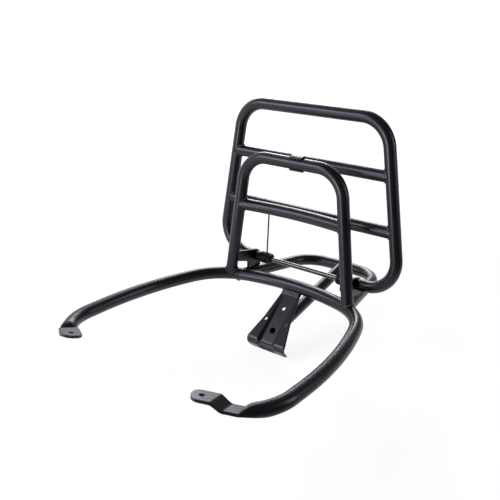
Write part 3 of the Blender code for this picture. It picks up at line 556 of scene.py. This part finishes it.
def platformHalf(height):
    # Half the platform's width at a height above the rod
    widest = platform["endX"] + platform["stub"] + footTangent
    return widest - height * math.tan(platformSplay)


def platformBar(height):
    return dict(
        origin=pivot + height * platformUp, across=xAxis, up=platformUp, middle=0.0,
        parts=((platformHalf(height), 0.0),),
    )


platformLine = dict(
    origin=pivot, across=xAxis, up=platformUp, middle=platform["height"],
    parts=(
        (platformHalf(platform["height"]) - topTangent, 0.0), (platform["corner"] * topTurn, topTurn),
        (platform["height"] / math.cos(platformSplay) - topTangent - footTangent, 0.0),
        (platform["foot"] * footTurn, footTurn), (platform["stub"], 0.0),
    ),
)
upperBar = hoopTop[2] - platform["upperBelowHoop"] - pivot[2]
upperBar = upperBar / math.cos(math.radians(platform["tilt"]))
upperBarLine = platformBar(upperBar)
lowerBarLine = platformBar(platform["lowerBar"])

loopTurn = math.pi / 2 - math.radians(loop["splay"] + loop["bow"][1])
loopBack = tilted(loop["tilt"] + 90.0)
loopBends = (arcPart(*loop["bow"]), (loop["corner"] * loopTurn, loopTurn))
loopLine = dict(
    origin=base["rearY"] * yAxis + (base["z"] - loop["drop"]) * zAxis, across=xAxis, up=loopBack,
    middle=loop["reach"], radius=loop["radius"], parts=loopBends,
)


def loopLeg():
    # The leg runs straight on, and ends a little short of the base tube's centre line
    distance = lineLength(loopLine) + np.linspace(0.0, 0.16, 1600)
    centre = lineFrames(loopLine, distance)[0]
    baseCentre = baseCentres(0.30, 3000)
    behind = np.interp(centre[:, 0], baseCentre[:, 0], baseCentre[:, 1])
    meets = int(np.argmax(centre[:, 1] < behind))
    return float(distance[meets] - distance[0]) - loop["short"]


loopLine["parts"] = (*loopBends, (loopLeg(), 0.0))
tubes = (
    ("uprightHoop", hoopLine, tube["bentStep"], "frame", "hoop_tube"),
    ("hoopCrossbar", hoopBarLine, tube["bentStep"], "frame", "hoop_crossbar"),
    ("supportLoop", loopLine, tube["bentStep"], "frame", "support_loop"),
    ("platformTube", platformLine, tube["bentStep"], "platform", "platform_tube"),
    ("upperCrossbar", upperBarLine, tube["straightStep"], "platform", "platform_upper_crossbar"),
    ("lowerCrossbar", lowerBarLine, tube["straightStep"], "platform", "platform_lower_crossbar"),
)
for name, line, step, body, node in tubes:
    ride(roundTube(name, line, step), body, "powder_coat", node)
print("tubes bent")

# The pressed tail bracket and its strut: places are measured down the slope from the bolt holes' middle
bracket = dict(
    slope=43.7, thickness=0.003, top=0.052, neck=0.0406, waist=0.0015, bend=0.0352,
    bendRadius=0.005, lip=0.011, neckHalf=0.0155, waistHalf=0.0225, footHalf=0.0320,
    channelTop=0.0085, channelFoot=0.0102, channelWall=0.0045, channelDepth=0.004, channelEnd=0.3,
    lipStraight=0.6, lipNarrower=0.12, edge=0.0009, boltSpacing=0.0355, smallHole=0.006,
    bigHole=0.009, sideHole=0.005, sideAlong=0.0045, sideX=0.0178, drill=(0.008, 0.010), sharp=42,
    slopeRows=60, bendRows=14, lipRows=22, columns=61,
)
strut = dict(
    along=0.0270, standOff=0.0022, wall=0.0015, sunk=0.0004, block=0.05, drill=(0.01, 0.08), sharp=50,
)
slopeTurn = math.radians(bracket["slope"])
down = -math.cos(slopeTurn) * yAxis - math.sin(slopeTurn) * zAxis
face = -math.sin(slopeTurn) * yAxis + math.cos(slopeTurn) * zAxis


def bracketProfile(along):
    # Straight down the slope, then round a quarter turn, then back along the lip
    past = np.maximum(along - bracket["bend"], 0.0)
    turn = np.minimum(np.pi / 2, past / bracket["bendRadius"])
    straight = np.minimum(along, bracket["bend"])
    facing = circle(turn, face, down)
    place = np.outer(straight, down) - bracket["bendRadius"] * face + bracket["bendRadius"] * facing
    lip = past - bracket["bendRadius"] * turn
    return place - np.outer(lip, face), facing


def pressedBracket():
    # place(s) + across(s, u) * x + high(s, u) * facing(s): the wings stand above the channel's floor,
    # which deepens down the slope and comes up to them in the lip
    bend, arc = bracket["bend"], bracket["bendRadius"] * math.pi / 2
    lipEnd = bend + arc + bracket["lip"]
    lipAngle = np.linspace(0.0, np.pi / 2, bracket["lipRows"])
    along = np.concatenate((
        np.linspace(-bracket["top"], bend, bracket["slopeRows"])[:-1],
        np.linspace(bend, bend + arc, bracket["bendRows"])[:-1],
        lipEnd - bracket["lip"] * (1 - np.sin(lipAngle)),
    ))
    place, facing = bracketProfile(along)
    widths = (bracket["neckHalf"], bracket["waistHalf"], bracket["footHalf"])
    half = np.interp(along, (-bracket["neck"], bracket["waist"], bend), widths)
    lipShare = np.clip((along - bend - arc) / bracket["lip"], 0.0, 1.0)
    narrowing = np.maximum(0.0, (lipShare - bracket["lipStraight"]) / (1 - bracket["lipStraight"]))
    half = half * (1 - bracket["lipNarrower"] * narrowing**2)
    share = np.clip((along + bracket["neck"]) / (bend + bracket["neck"]), 0.0, 1.0)
    channel = bracket["channelTop"] + (bracket["channelFoot"] - bracket["channelTop"]) * share
    half, share, channel, lipShare = (v[:, None] for v in (half, share, channel, lipShare))
    across = np.linspace(-1.0, 1.0, bracket["columns"])[None, :] * half
    wings = smoothStep(np.abs(across), channel, channel + bracket["channelWall"])
    runOut = smoothStep(lipShare, bracket["channelEnd"], 1.0)
    rise = bracket["channelDepth"] * (share * wings + runOut * (1 - wings))
    overEdge = np.clip((np.abs(across) - half + bracket["edge"]) / bracket["edge"], 0, 1)
    ease = bracket["edge"] * (1 - np.sqrt(1 - overEdge**2))
    front, back = rise - ease, rise - bracket["thickness"] + ease
    wide = np.concatenate((across, across[:, ::-1]), axis=1)
    high = np.concatenate((front, back[:, ::-1]), axis=1)
    points = place[:, None] + wide[..., None] * xAxis + high[..., None] * facing[:, None]
    piece = gridPiece("tailBracket", points, powderCoat)
    halfSpacing = bracket["boltSpacing"] / 2
    holes = (
        (0.0, -halfSpacing, bracket["smallHole"]), (0.0, halfSpacing, bracket["bigHole"]),
        (-bracket["sideX"], bracket["sideAlong"], bracket["sideHole"]),
        (bracket["sideX"], bracket["sideAlong"], bracket["sideHole"]),
    )
    for x, below, size in holes:
        cutBy(piece, drillPin(x * xAxis + below * down, face, bracket["drill"], size / 2))
    smoothed(piece.data, bracket["sharp"])
    return piece


def between(start, end):
    way = unit(end - start)
    half = float(np.linalg.norm(end - start)) / 2
    return dict(
        origin=(start + end) / 2, across=way, up=squareTo(way), middle=0.0, parts=((half, 0.0),),
    )


def blockBehind():
    # All that lies in front of the bracket's back face, to cut the strut's foot to it
    size = strut["block"]
    middle = strut["along"] * down - (bracket["thickness"] - strut["sunk"]) * face
    square = ((-size, -size), (-size, size), (size, size), (size, -size))
    corners = np.array([
        middle + a * down + b * xAxis + c * face for c in (0.0, size) for a, b in square
    ])
    return gridPiece("block", corners.reshape(2, 4, 3), powderCoat)


ride(pressedBracket(), "frame", "powder_coat", "tail_bracket")
strutFoot = bracketProfile(np.array([strut["along"]]))[0][0]
loopRear = loopLine["origin"] + loop["reach"] * loopBack
strutWay = unit(loopRear - strutFoot)
strutLine = between(strutFoot + strut["standOff"] * strutWay, loopRear)
strutTube = roundTube("bracketStrut", strutLine, tube["straightStep"])
cutBy(strutTube, blockBehind())
cutBy(strutTube, drillPin(strutFoot, strutWay, strut["drill"], tube["radius"] - strut["wall"]))
smoothed(strutTube.data, strut["sharp"])
ride(strutTube, "frame", "powder_coat", "bracket_strut")
print("bracket pressed")

# The hinge: lugs, bushes, plugs, sleeves and the rod
rod = dict(radius=0.0035, reach=0.0065, chamfer=0.0008, inset=0.001, rows=40, sides=40)
hinge = dict(
    lugX=0.086, lugThickness=0.004, lugEdge=0.0006, boss=0.0095, armReach=0.042, armTop=0.0185,
    armBottom=0.003, footReach=0.0185, footDrop=0.0178, notchDrop=0.0035, notch=0.003,
    running=0.0003, gap=0.0003, bushWall=0.0015, flangeRadius=0.0075, flange=0.0014,
    plugLength=0.0075, plugRadius=0.0062, proud=0.0002, turnedSides=48, turnedEdge=0.00025,
    sleeve=0.0060, sleeveX=0.058, collar=0.0079, collarLength=0.0018, sleeveBack=0.0072,
)
spring = dict(
    wire=0.00112, coil=0.0074, turns=7, pitch=0.0022, endRoom=0.001, legReach=0.024, legTurn=0.25,
    hookStart=-100.0, hookEnd=10.0, slant=0.0028, easing=4, step=0.0005, sides=12,
)
bothSides = ((-1, "left"), (1, "right"))


def plate(name, outline, lowX, highX, material, bevel):
    # An outline in Y and Z carried straight from one X to the other, with its edges broken
    count = len(outline)
    flat = np.outer(outline[:, 0], yAxis) + np.outer(outline[:, 1], zAxis)
    points = np.concatenate((flat + lowX * xAxis, flat + highX * xAxis))
    ring = np.arange(count)
    after = np.roll(ring, -1)
    sides = np.stack((ring, after, after + count, ring + count), axis=1).tolist()
    faces = [ring[::-1].tolist(), (ring + count).tolist()] + sides
    piece = addMesh(name, points, faces, material, sharp=30)
    breakEdges(piece, bevel, 3)
    return piece


def arcPoints(centre, radius, start, end, steps=14):
    # centre + radius * (cos a, sin a)
    angle = np.linspace(start, end, steps)
    return np.array(centre) + radius * np.stack((np.cos(angle), np.sin(angle)), axis=1)


def lugOutline():
    # In Y and Z about the rod: an arm forward, a round boss, and a foot with a notch in its corner
    away = math.hypot(hinge["armReach"], hinge["armTop"])
    touch = math.atan2(hinge["armTop"], -hinge["armReach"]) - math.acos(hinge["boss"] / away)
    notch = hinge["notch"]
    notchCentre = (-hinge["footReach"] - notch, -hinge["notchDrop"] - notch)
    parts = (
        [(-hinge["armReach"], hinge["armTop"])],
        arcPoints((0.0, 0.0), hinge["boss"], touch, 0.0, steps=24),
        [(hinge["boss"], -hinge["footDrop"]), (-hinge["footReach"], -hinge["footDrop"])],
        arcPoints(notchCentre, notch, 0.0, math.pi / 2, steps=8),
        [(-hinge["armReach"], hinge["armBottom"])],
    )
    return np.concatenate([np.array(p) for p in parts]) + pivot[1:]


def turned(name, side, profile):
    # pivot + side * x * X + r * (cos a * Y + sin a * Z), for a profile of places x and radii r
    places, radii = np.array(profile).T
    ring = circle(roundAngles(hinge["turnedSides"]), yAxis, zAxis)
    points = pivot + side * places[:, None, None] * xAxis + radii[:, None, None] * ring[None]
    piece = gridPiece(name, points, bearingPlastic, closedRows=True, sharp=30)
    breakEdges(piece, hinge["turnedEdge"], 2)
    return piece


bore = rod["radius"] + hinge["running"]
lugEnd = hinge["lugX"] + hinge["lugThickness"]
flangeEnd = hinge["lugX"] - hinge["gap"]
flangeStart = flangeEnd - hinge["flange"]
plugFlange = platform["endX"] - hinge["gap"]
plugEnd = platform["endX"] + hinge["plugLength"]
collarEnd = hinge["sleeveX"] + hinge["collarLength"]
coilStart = collarEnd + hinge["gap"] + spring["endRoom"]
coilEnd = coilStart + spring["turns"] * spring["pitch"]
backStart = coilEnd + spring["endRoom"] + hinge["gap"]
sleeveEnd = flangeStart - hinge["gap"]
# Profiles as (place along X, radius), from the inner end outwards and back through the bore
bushSteps = (
    (flangeStart, hinge["flangeRadius"]), (flangeEnd, hinge["flangeRadius"]),
    (flangeEnd, bore + hinge["bushWall"]), (lugEnd + hinge["proud"], bore + hinge["bushWall"]),
    (lugEnd + hinge["proud"], bore), (flangeStart, bore),
)
plugSteps = (
    (plugFlange - hinge["flange"], tube["radius"]), (plugFlange + hinge["proud"], tube["radius"]),
    (plugFlange + hinge["proud"], hinge["plugRadius"]), (plugEnd, hinge["plugRadius"]),
    (plugEnd, bore), (plugFlange - hinge["flange"], bore),
)
sleeveSteps = (
    (hinge["sleeveX"], hinge["collar"]), (collarEnd, hinge["collar"]),
    (collarEnd, hinge["sleeve"]), (backStart, hinge["sleeve"]),
    (backStart, hinge["sleeveBack"]), (sleeveEnd, hinge["sleeveBack"]),
    (sleeveEnd, bore), (hinge["sleeveX"], bore),
)
for side, word in bothSides:
    low, high = sorted((side * hinge["lugX"], side * lugEnd))
    lug = plate("hingeLug_" + word, lugOutline(), low, high, powderCoat, hinge["lugEdge"])
    bush = turned("lugBush_" + word, side, bushSteps)
    plug = turned("endPlug_" + word, side, plugSteps)
    sleeve = turned("springSleeve_" + word, side, sleeveSteps)
    ride(lug, "frame", "powder_coat", "hinge_lug_" + word)
    ride(bush, "frame", "bearing_plastic", "lug_bush_" + word)
    ride(plug, "platform", "bearing_plastic", "platform_end_plug_" + word)
    ride(sleeve, "frame", "bearing_plastic", "spring_sleeve_" + word)

rodEnd = platform["endX"] + rod["reach"]
rodPlaces = np.concatenate((
    [-rodEnd, rod["chamfer"] - rodEnd],
    np.linspace(rod["inset"] - rodEnd, rodEnd - rod["inset"], rod["rows"]),
    [rodEnd - rod["chamfer"], rodEnd],
))
rodSizes = np.full(len(rodPlaces), rod["radius"])
rodSizes[[0, -1]] -= rod["chamfer"]
rodPath = pivot + np.outer(rodPlaces, xAxis)
rodPiece = wirePiece("pivotRod", rodPath, rodSizes, zAxis, rodSteel, rod["sides"])
ride(rodPiece, "frame", "bare_steel", "pivot_rod")


# The torsion springs
def springPath(side):
    # A hook round the bar, a straight leg, the coil x = x0 + pitch * turns * a / its last a, and a
    # short leg to the loop, all eased a little into each other
    barCentre = pivot + platform["lowerBar"] * platformUp
    hook = np.radians(np.linspace(spring["hookEnd"], spring["hookStart"], 30))
    hookRadius = tube["radius"] + hinge["gap"] + spring["wire"]
    hookCentre = barCentre + side * (coilStart + spring["slant"]) * xAxis
    hookPoints = hookCentre + hookRadius * circle(hook, yAxis, zAxis)
    turn = np.linspace(0.0, 2 * np.pi * (spring["turns"] + spring["legTurn"]), 700)
    place = side * (coilStart + spring["pitch"] * spring["turns"] * turn / turn[-1])
    coil = pivot + np.outer(place, xAxis) - spring["coil"] * circle(turn, yAxis, zAxis)
    restY = pivot[1] + spring["legReach"]
    loopZ = loopLine["origin"][2] - (restY - loopLine["origin"][1]) * slopeOf(loop["tilt"])
    restZ = loopZ + loop["radius"] + hinge["gap"] + spring["wire"]
    rest = np.array(((side * coilEnd, restY, restZ),))
    path = evenly(np.concatenate((hookPoints, coil, rest)), spring["step"])
    for _ in range(spring["easing"]):
        path[1:-1] = (path[:-2] + 2 * path[1:-1] + path[2:]) / 4
    return path


# Each spring is baked in place on no body: its hook is round the platform's lower bar, its short leg
# rests on the loop, and the coil winds between
for side, word in bothSides:
    path = springPath(side)
    coil = wirePiece("torsionSpring_" + word, path, spring["wire"], xAxis, wireSteel, spring["sides"])
    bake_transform(coil)
    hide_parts("torsion_spring_" + word)
print("hinge fitted")

# The moulded retaining clip: a cradle round the platform's upper bar and an open hook over the hoop
clip = dict(
    centreX=0.0085, width=0.019, wall=0.0019, gap=0.0003, upperLip=18.0, lowerLip=44.0,
    block=0.004, armHalf=0.0045, edge=0.0012, cradleTop=128.0, cradleEnd=335.0, bevel=0.0004,
)


def clipOutline():
    # In Y and Z: arcs about the two tubes' centres at the seat's and the skin's radius, half-round
    # lips at their ends, and a straight arm between them
    barCentre = (pivot + upperBar * platformUp)[1:]
    hoopCentre = hoopTop[1:]
    reach = hoopCentre - pivot[1:]
    leave = unit(np.array((reach[1], -reach[0])))
    out = np.array((-leave[1], leave[0]))
    tilt = math.atan2(leave[1], leave[0])
    quarter = math.pi / 2
    seat = tube["radius"] + clip["gap"]
    skin = seat + clip["wall"]
    lip = clip["wall"] / 2
    arm = unit(barCentre - hoopCentre)
    over = clip["armHalf"] * np.array((-arm[1], arm[0]))
    towards = math.atan2(-arm[1], -arm[0]) % (2 * math.pi)
    meet = math.asin(clip["armHalf"] / skin)
    upper = tilt + quarter + math.radians(clip["upperLip"])
    lower = tilt - quarter - math.radians(clip["lowerLip"])
    top, end = math.radians(clip["cradleTop"]), math.radians(clip["cradleEnd"])
    behind = hoopCentre + clip["block"] * leave
    edge = clip["edge"]

    def lipArc(centre, angle, start):
        # Half round, about the middle of the wall's thickness
        middle = centre + (seat + lip) * np.array((math.cos(angle), math.sin(angle)))
        return arcPoints(middle, lip, start, start + math.pi)[1:]

    parts = (
        arcPoints(hoopCentre, seat, upper, lower, steps=40),
        lipArc(hoopCentre, lower, lower - math.pi),
        arcPoints(hoopCentre, skin, lower, tilt - quarter, steps=12)[1:],
        arcPoints(behind - (skin - edge) * out, edge, tilt - quarter, tilt, steps=8),
        [hoopCentre + skin * arm - over],
        arcPoints(barCentre, skin, towards + meet, end, steps=28),
        lipArc(barCentre, end, end),
        arcPoints(barCentre, seat, end, top, steps=30)[1:],
        lipArc(barCentre, top, top - math.pi),
        arcPoints(barCentre, skin, top, towards - meet, steps=8)[1:],
        [hoopCentre + skin * arm + over],
        arcPoints(behind + (skin - edge) * out, edge, tilt, tilt + quarter, steps=8),
        arcPoints(hoopCentre, skin, tilt + quarter, upper, steps=8),
        lipArc(hoopCentre, upper, upper)[:-1],
    )
    return np.concatenate([np.array(p) for p in parts])


clipLow = clip["centreX"] - clip["width"] / 2
clipHigh = clipLow + clip["width"]
clipPiece = plate("retainingClip", clipOutline(), clipLow, clipHigh, clipPlastic, clip["bevel"])
ride(clipPiece, "platform", "clip_plastic", "retaining_clip")

# The weld beads
weld = dict(
    size=0.0014, ripple=0.14, pitch=0.0017, wander=0.08, proud=0.0002, least=0.25, sides=12,
    around=180, search=0.035, halvings=22, overrun=0.004, merged=0.0001,
    neckInset=0.0012, neckProud=0.0006, neckStep=0.0003,
    neckRows=((-0.0006, 1.6), (0.0022, 1.45), (0.0046, 1.1)),
)


def beadSizes(path, seed, closed):
    # size * (1 + ripple * |sin(pi * waves * share)| + wander * slow wave)
    reach = pathReach(path)
    waves = max(4, round(reach[-1] / weld["pitch"]))
    share = reach / reach[-1] * (len(path) / (len(path) + 1) if closed else 1.0)
    slow = np.sin(2 * np.pi * (2 * share) + seed) * 0.6
    slow = slow + np.sin(2 * np.pi * (5 * share) + 2.1 * seed) * 0.4
    ripple = np.abs(np.sin(np.pi * waves * share))
    return weld["size"] * (1 + weld["ripple"] * ripple + weld["wander"] * slow)


def jointBead(name, branch, mainLine, body, seed, endSide):
    # The branch's generators are followed until they leave the main tube: |p - main| = radius,
    # by halving, and the bead runs through the places found
    half = lineLength(branch)
    branchReach, mainReach = (
        line.get("radius", tube["radius"]) + weld["proud"] for line in (branch, mainLine)
    )
    angle = roundAngles(weld["around"])
    cosine, sine = np.cos(angle)[:, None], np.sin(angle)[:, None]
    mainCentre = lineFrames(mainLine, stationsOf(mainLine, 0.001, weld["overrun"]))[0]
    near, far = np.zeros(len(angle)), np.full(len(angle), weld["search"])
    for _ in range(weld["halvings"]):
        middle = (near + far) / 2
        centre, side, out = lineFrames(branch, endSide * (half - middle))
        facing = cosine * side + sine * out
        point = centre + branchReach * facing
        apart = point[:, None] - mainCentre[None]
        away = np.sqrt((apart**2).sum(-1))
        inside = away.min(1) < mainReach
        near, far = np.where(inside, middle, near), np.where(inside, far, middle)
    # The bead fills the corner between the tubes, and thins where their surfaces run together
    mainFacing = unit(apart[np.arange(len(angle)), away.argmin(1)])
    corner = 1 - np.clip((facing * mainFacing).sum(1), 0.0, 1.0)
    corner = np.where(far < weld["merged"], 0.0, corner)
    size = beadSizes(point, seed, True) * (weld["least"] + (1 - weld["least"]) * corner)
    reference = branch["across"] if len(branch["parts"]) == 1 else branch["up"]
    bead = wirePiece(name, point, size, reference, weldCoat, weld["sides"], closed=True)
    ride(bead, body, "powder_coat")


joints = (
    ("hoopFoot", hoopLine, baseLine, "frame"), ("hoopBar", hoopBarLine, hoopLine, "frame"),
    ("loopFoot", loopLine, baseLine, "frame"), ("upperBar", upperBarLine, platformLine, "platform"),
    ("lowerBar", lowerBarLine, platformLine, "platform"),
)
for number, (word, branch, mainLine, body) in enumerate(joints):
    jointBead("weld_" + word + "_right", branch, mainLine, body, 1.0 + number, 1)
    jointBead("weld_" + word + "_left", branch, mainLine, body, 4.0 + number, -1)
jointBead("weld_strutTop", strutLine, loopLine, "frame", 2.5, 1)
print("welds laid")


def neckSeam():
    # Across the bracket's neck, where its front face meets the base tube: from the tube's centre
    # to the face, and down it by sqrt(radius^2 - depth^2)
    inner = bracket["neckHalf"] - weld["neckInset"]
    x = np.linspace(-inner, inner, 40)
    rear = baseCentres(0.08, 200)
    y = np.interp(np.abs(x), rear[:, 0], rear[:, 1])
    centre = np.stack((x, y, np.full(len(x), base["z"])), axis=1)
    low = -(face * (centre @ face)[:, None])
    depth = np.linalg.norm(low, axis=1) - weld["neckProud"]
    reach = np.sqrt(np.maximum(0.0, (base["radius"] + weld["neckProud"]) ** 2 - depth**2))
    return centre + low + weld["neckProud"] * face + reach[:, None] * down


neck = neckSeam()
for number, (shift, size) in enumerate(weld["neckRows"]):
    path = evenly(neck + shift * down - weld["neckStep"] * number * face, 0.0003)
    sizes = size * beadSizes(path, 0.7 + 2.4 * number, False)
    name = "weld_neck_" + str(number)
    ride(wirePiece(name, path, sizes, zAxis, weldCoat, weld["sides"]), "frame", "powder_coat")

# Floor, light and backdrop: the white sweep stands under, behind and left of the object
stage = dict(
    floorZ=-0.0428, floorSize=45.0, floorColour=(0.22, 0.22, 0.222), floorRough=0.9,
    floorSpecular=0.1, near=0.87, far=1.0, nearTo=0.3, farFrom=2.4, room=0.04,
    sweepWay=(-0.9, 0.44, 0.0), floorSweep=(-0.45, -0.1), worldSweep=(0.1, 0.8), worldLevel=(0.12, 1.0),
)
lamps = dict(
    frontSoft=dict(
        place=(-0.84, -1.10, 0.86), aim=(0.0, 0.0, 0.12), size=(0.8, 0.6), power=13.0,
        colour=(0.95, 0.93, 1.0),
    ),
    backSoft=dict(
        place=(-0.94, 1.30, 0.92), aim=(0.0, 0.0, 0.10), size=(0.9, 0.6), power=18.0,
        colour=(0.96, 0.94, 1.0),
    ),
    lowStrip=dict(
        place=(-0.30, -1.35, 0.13), aim=(0.0, 0.0, 0.12), size=(0.22, 0.32), power=8.0,
        colour=(0.97, 0.96, 1.0),
    ),
    rightStrip=dict(
        place=(1.30, 0.55, 0.55), aim=(0.0, 0.0, 0.12), size=(0.2, 0.8), power=4.0,
        colour=(0.95, 0.94, 1.0),
    ),
)


def shownRay(nodes, links, place, sweepFrom, sweepTo):
    # 1 for camera rays, and for glossy rays room + (1 - room) * smooth step of place . sweep's way
    coords = nodes.new("ShaderNodeTexCoord")
    towards = nodes.new("ShaderNodeVectorMath")
    towards.operation = "DOT_PRODUCT"
    towards.inputs[1].default_value = stage["sweepWay"]
    links.new(coords.outputs[place], towards.inputs[0])
    sweep = nodes.new("ShaderNodeMapRange")
    sweep.interpolation_type = "SMOOTHSTEP"
    sweep.inputs["From Min"].default_value = sweepFrom
    sweep.inputs["From Max"].default_value = sweepTo
    sweep.inputs["To Min"].default_value = stage["room"]
    links.new(towards.outputs["Value"], sweep.inputs["Value"])
    path = nodes.new("ShaderNodeLightPath")
    mirrored = nodes.new("ShaderNodeMath")
    mirrored.operation = "MULTIPLY"
    links.new(path.outputs["Is Glossy Ray"], mirrored.inputs[0])
    links.new(sweep.outputs["Result"], mirrored.inputs[1])
    seen = nodes.new("ShaderNodeMath")
    seen.operation = "MAXIMUM"
    links.new(path.outputs["Is Camera Ray"], seen.inputs[0])
    links.new(mirrored.outputs["Value"], seen.inputs[1])
    return seen.outputs["Value"]


def floorPiece():
    # A level square, whose shown white is near + (far - near) * smooth step of the distance from
    # the middle, because the lamps no longer reach it far out
    half = stage["floorSize"]
    corners = np.array([(-half, -half, 0), (half, -half, 0), (half, half, 0), (-half, half, 0)], float)
    material, nodes, links, shader = newMaterial("paleFloor")
    shader.inputs["Base Color"].default_value = (*stage["floorColour"], 1.0)
    shader.inputs["Roughness"].default_value = stage["floorRough"]
    shader.inputs["Specular IOR Level"].default_value = stage["floorSpecular"]
    shader.inputs["Emission Color"].default_value = (1.0, 1.0, 1.0, 1.0)
    coords = nodes.new("ShaderNodeTexCoord")
    away = nodes.new("ShaderNodeVectorMath")
    away.operation = "LENGTH"
    links.new(coords.outputs["Object"], away.inputs[0])
    white = nodes.new("ShaderNodeMapRange")
    white.interpolation_type = "SMOOTHSTEP"
    white.inputs["From Min"].default_value = stage["nearTo"]
    white.inputs["From Max"].default_value = stage["farFrom"]
    white.inputs["To Min"].default_value = stage["near"]
    white.inputs["To Max"].default_value = stage["far"]
    links.new(away.outputs["Value"], white.inputs["Value"])
    glow = nodes.new("ShaderNodeMath")
    glow.operation = "MULTIPLY"
    links.new(shownRay(nodes, links, "Object", *stage["floorSweep"]), glow.inputs[0])
    links.new(white.outputs["Result"], glow.inputs[1])
    links.new(glow.outputs["Value"], shader.inputs["Emission Strength"])
    return addMesh("floor", corners + stage["floorZ"] * zAxis, [[0, 1, 2, 3]], material)


floorPiece()


def hangLamp(name, place, aim, size, power, colour):
    data = bpy.data.lights.new(name, "AREA")
    data.shape = "RECTANGLE"
    data.size, data.size_y = size
    data.energy = power
    data.color = colour
    lamp = bpy.data.objects.new(name, data)
    lamp.location = place
    lamp.rotation_euler = (Vector(aim) - Vector(place)).to_track_quat("-Z", "Y").to_euler()
    bpy.context.collection.objects.link(lamp)


for name, values in lamps.items():
    hangLamp(name, **values)

world = bpy.data.worlds.new("studio")
bpy.context.scene.world = world
world.use_nodes = True
worldNodes, worldLinks = world.node_tree.nodes, world.node_tree.links
background = worldNodes["Background"]
background.inputs["Color"].default_value = (1.0, 1.0, 1.0, 1.0)
level = worldNodes.new("ShaderNodeMapRange")
level.inputs["To Min"].default_value, level.inputs["To Max"].default_value = stage["worldLevel"]
worldShown = shownRay(worldNodes, worldLinks, "Generated", *stage["worldSweep"])
worldLinks.new(worldShown, level.inputs["Value"])
worldLinks.new(level.outputs["Result"], background.inputs["Strength"])
print("stage lit")
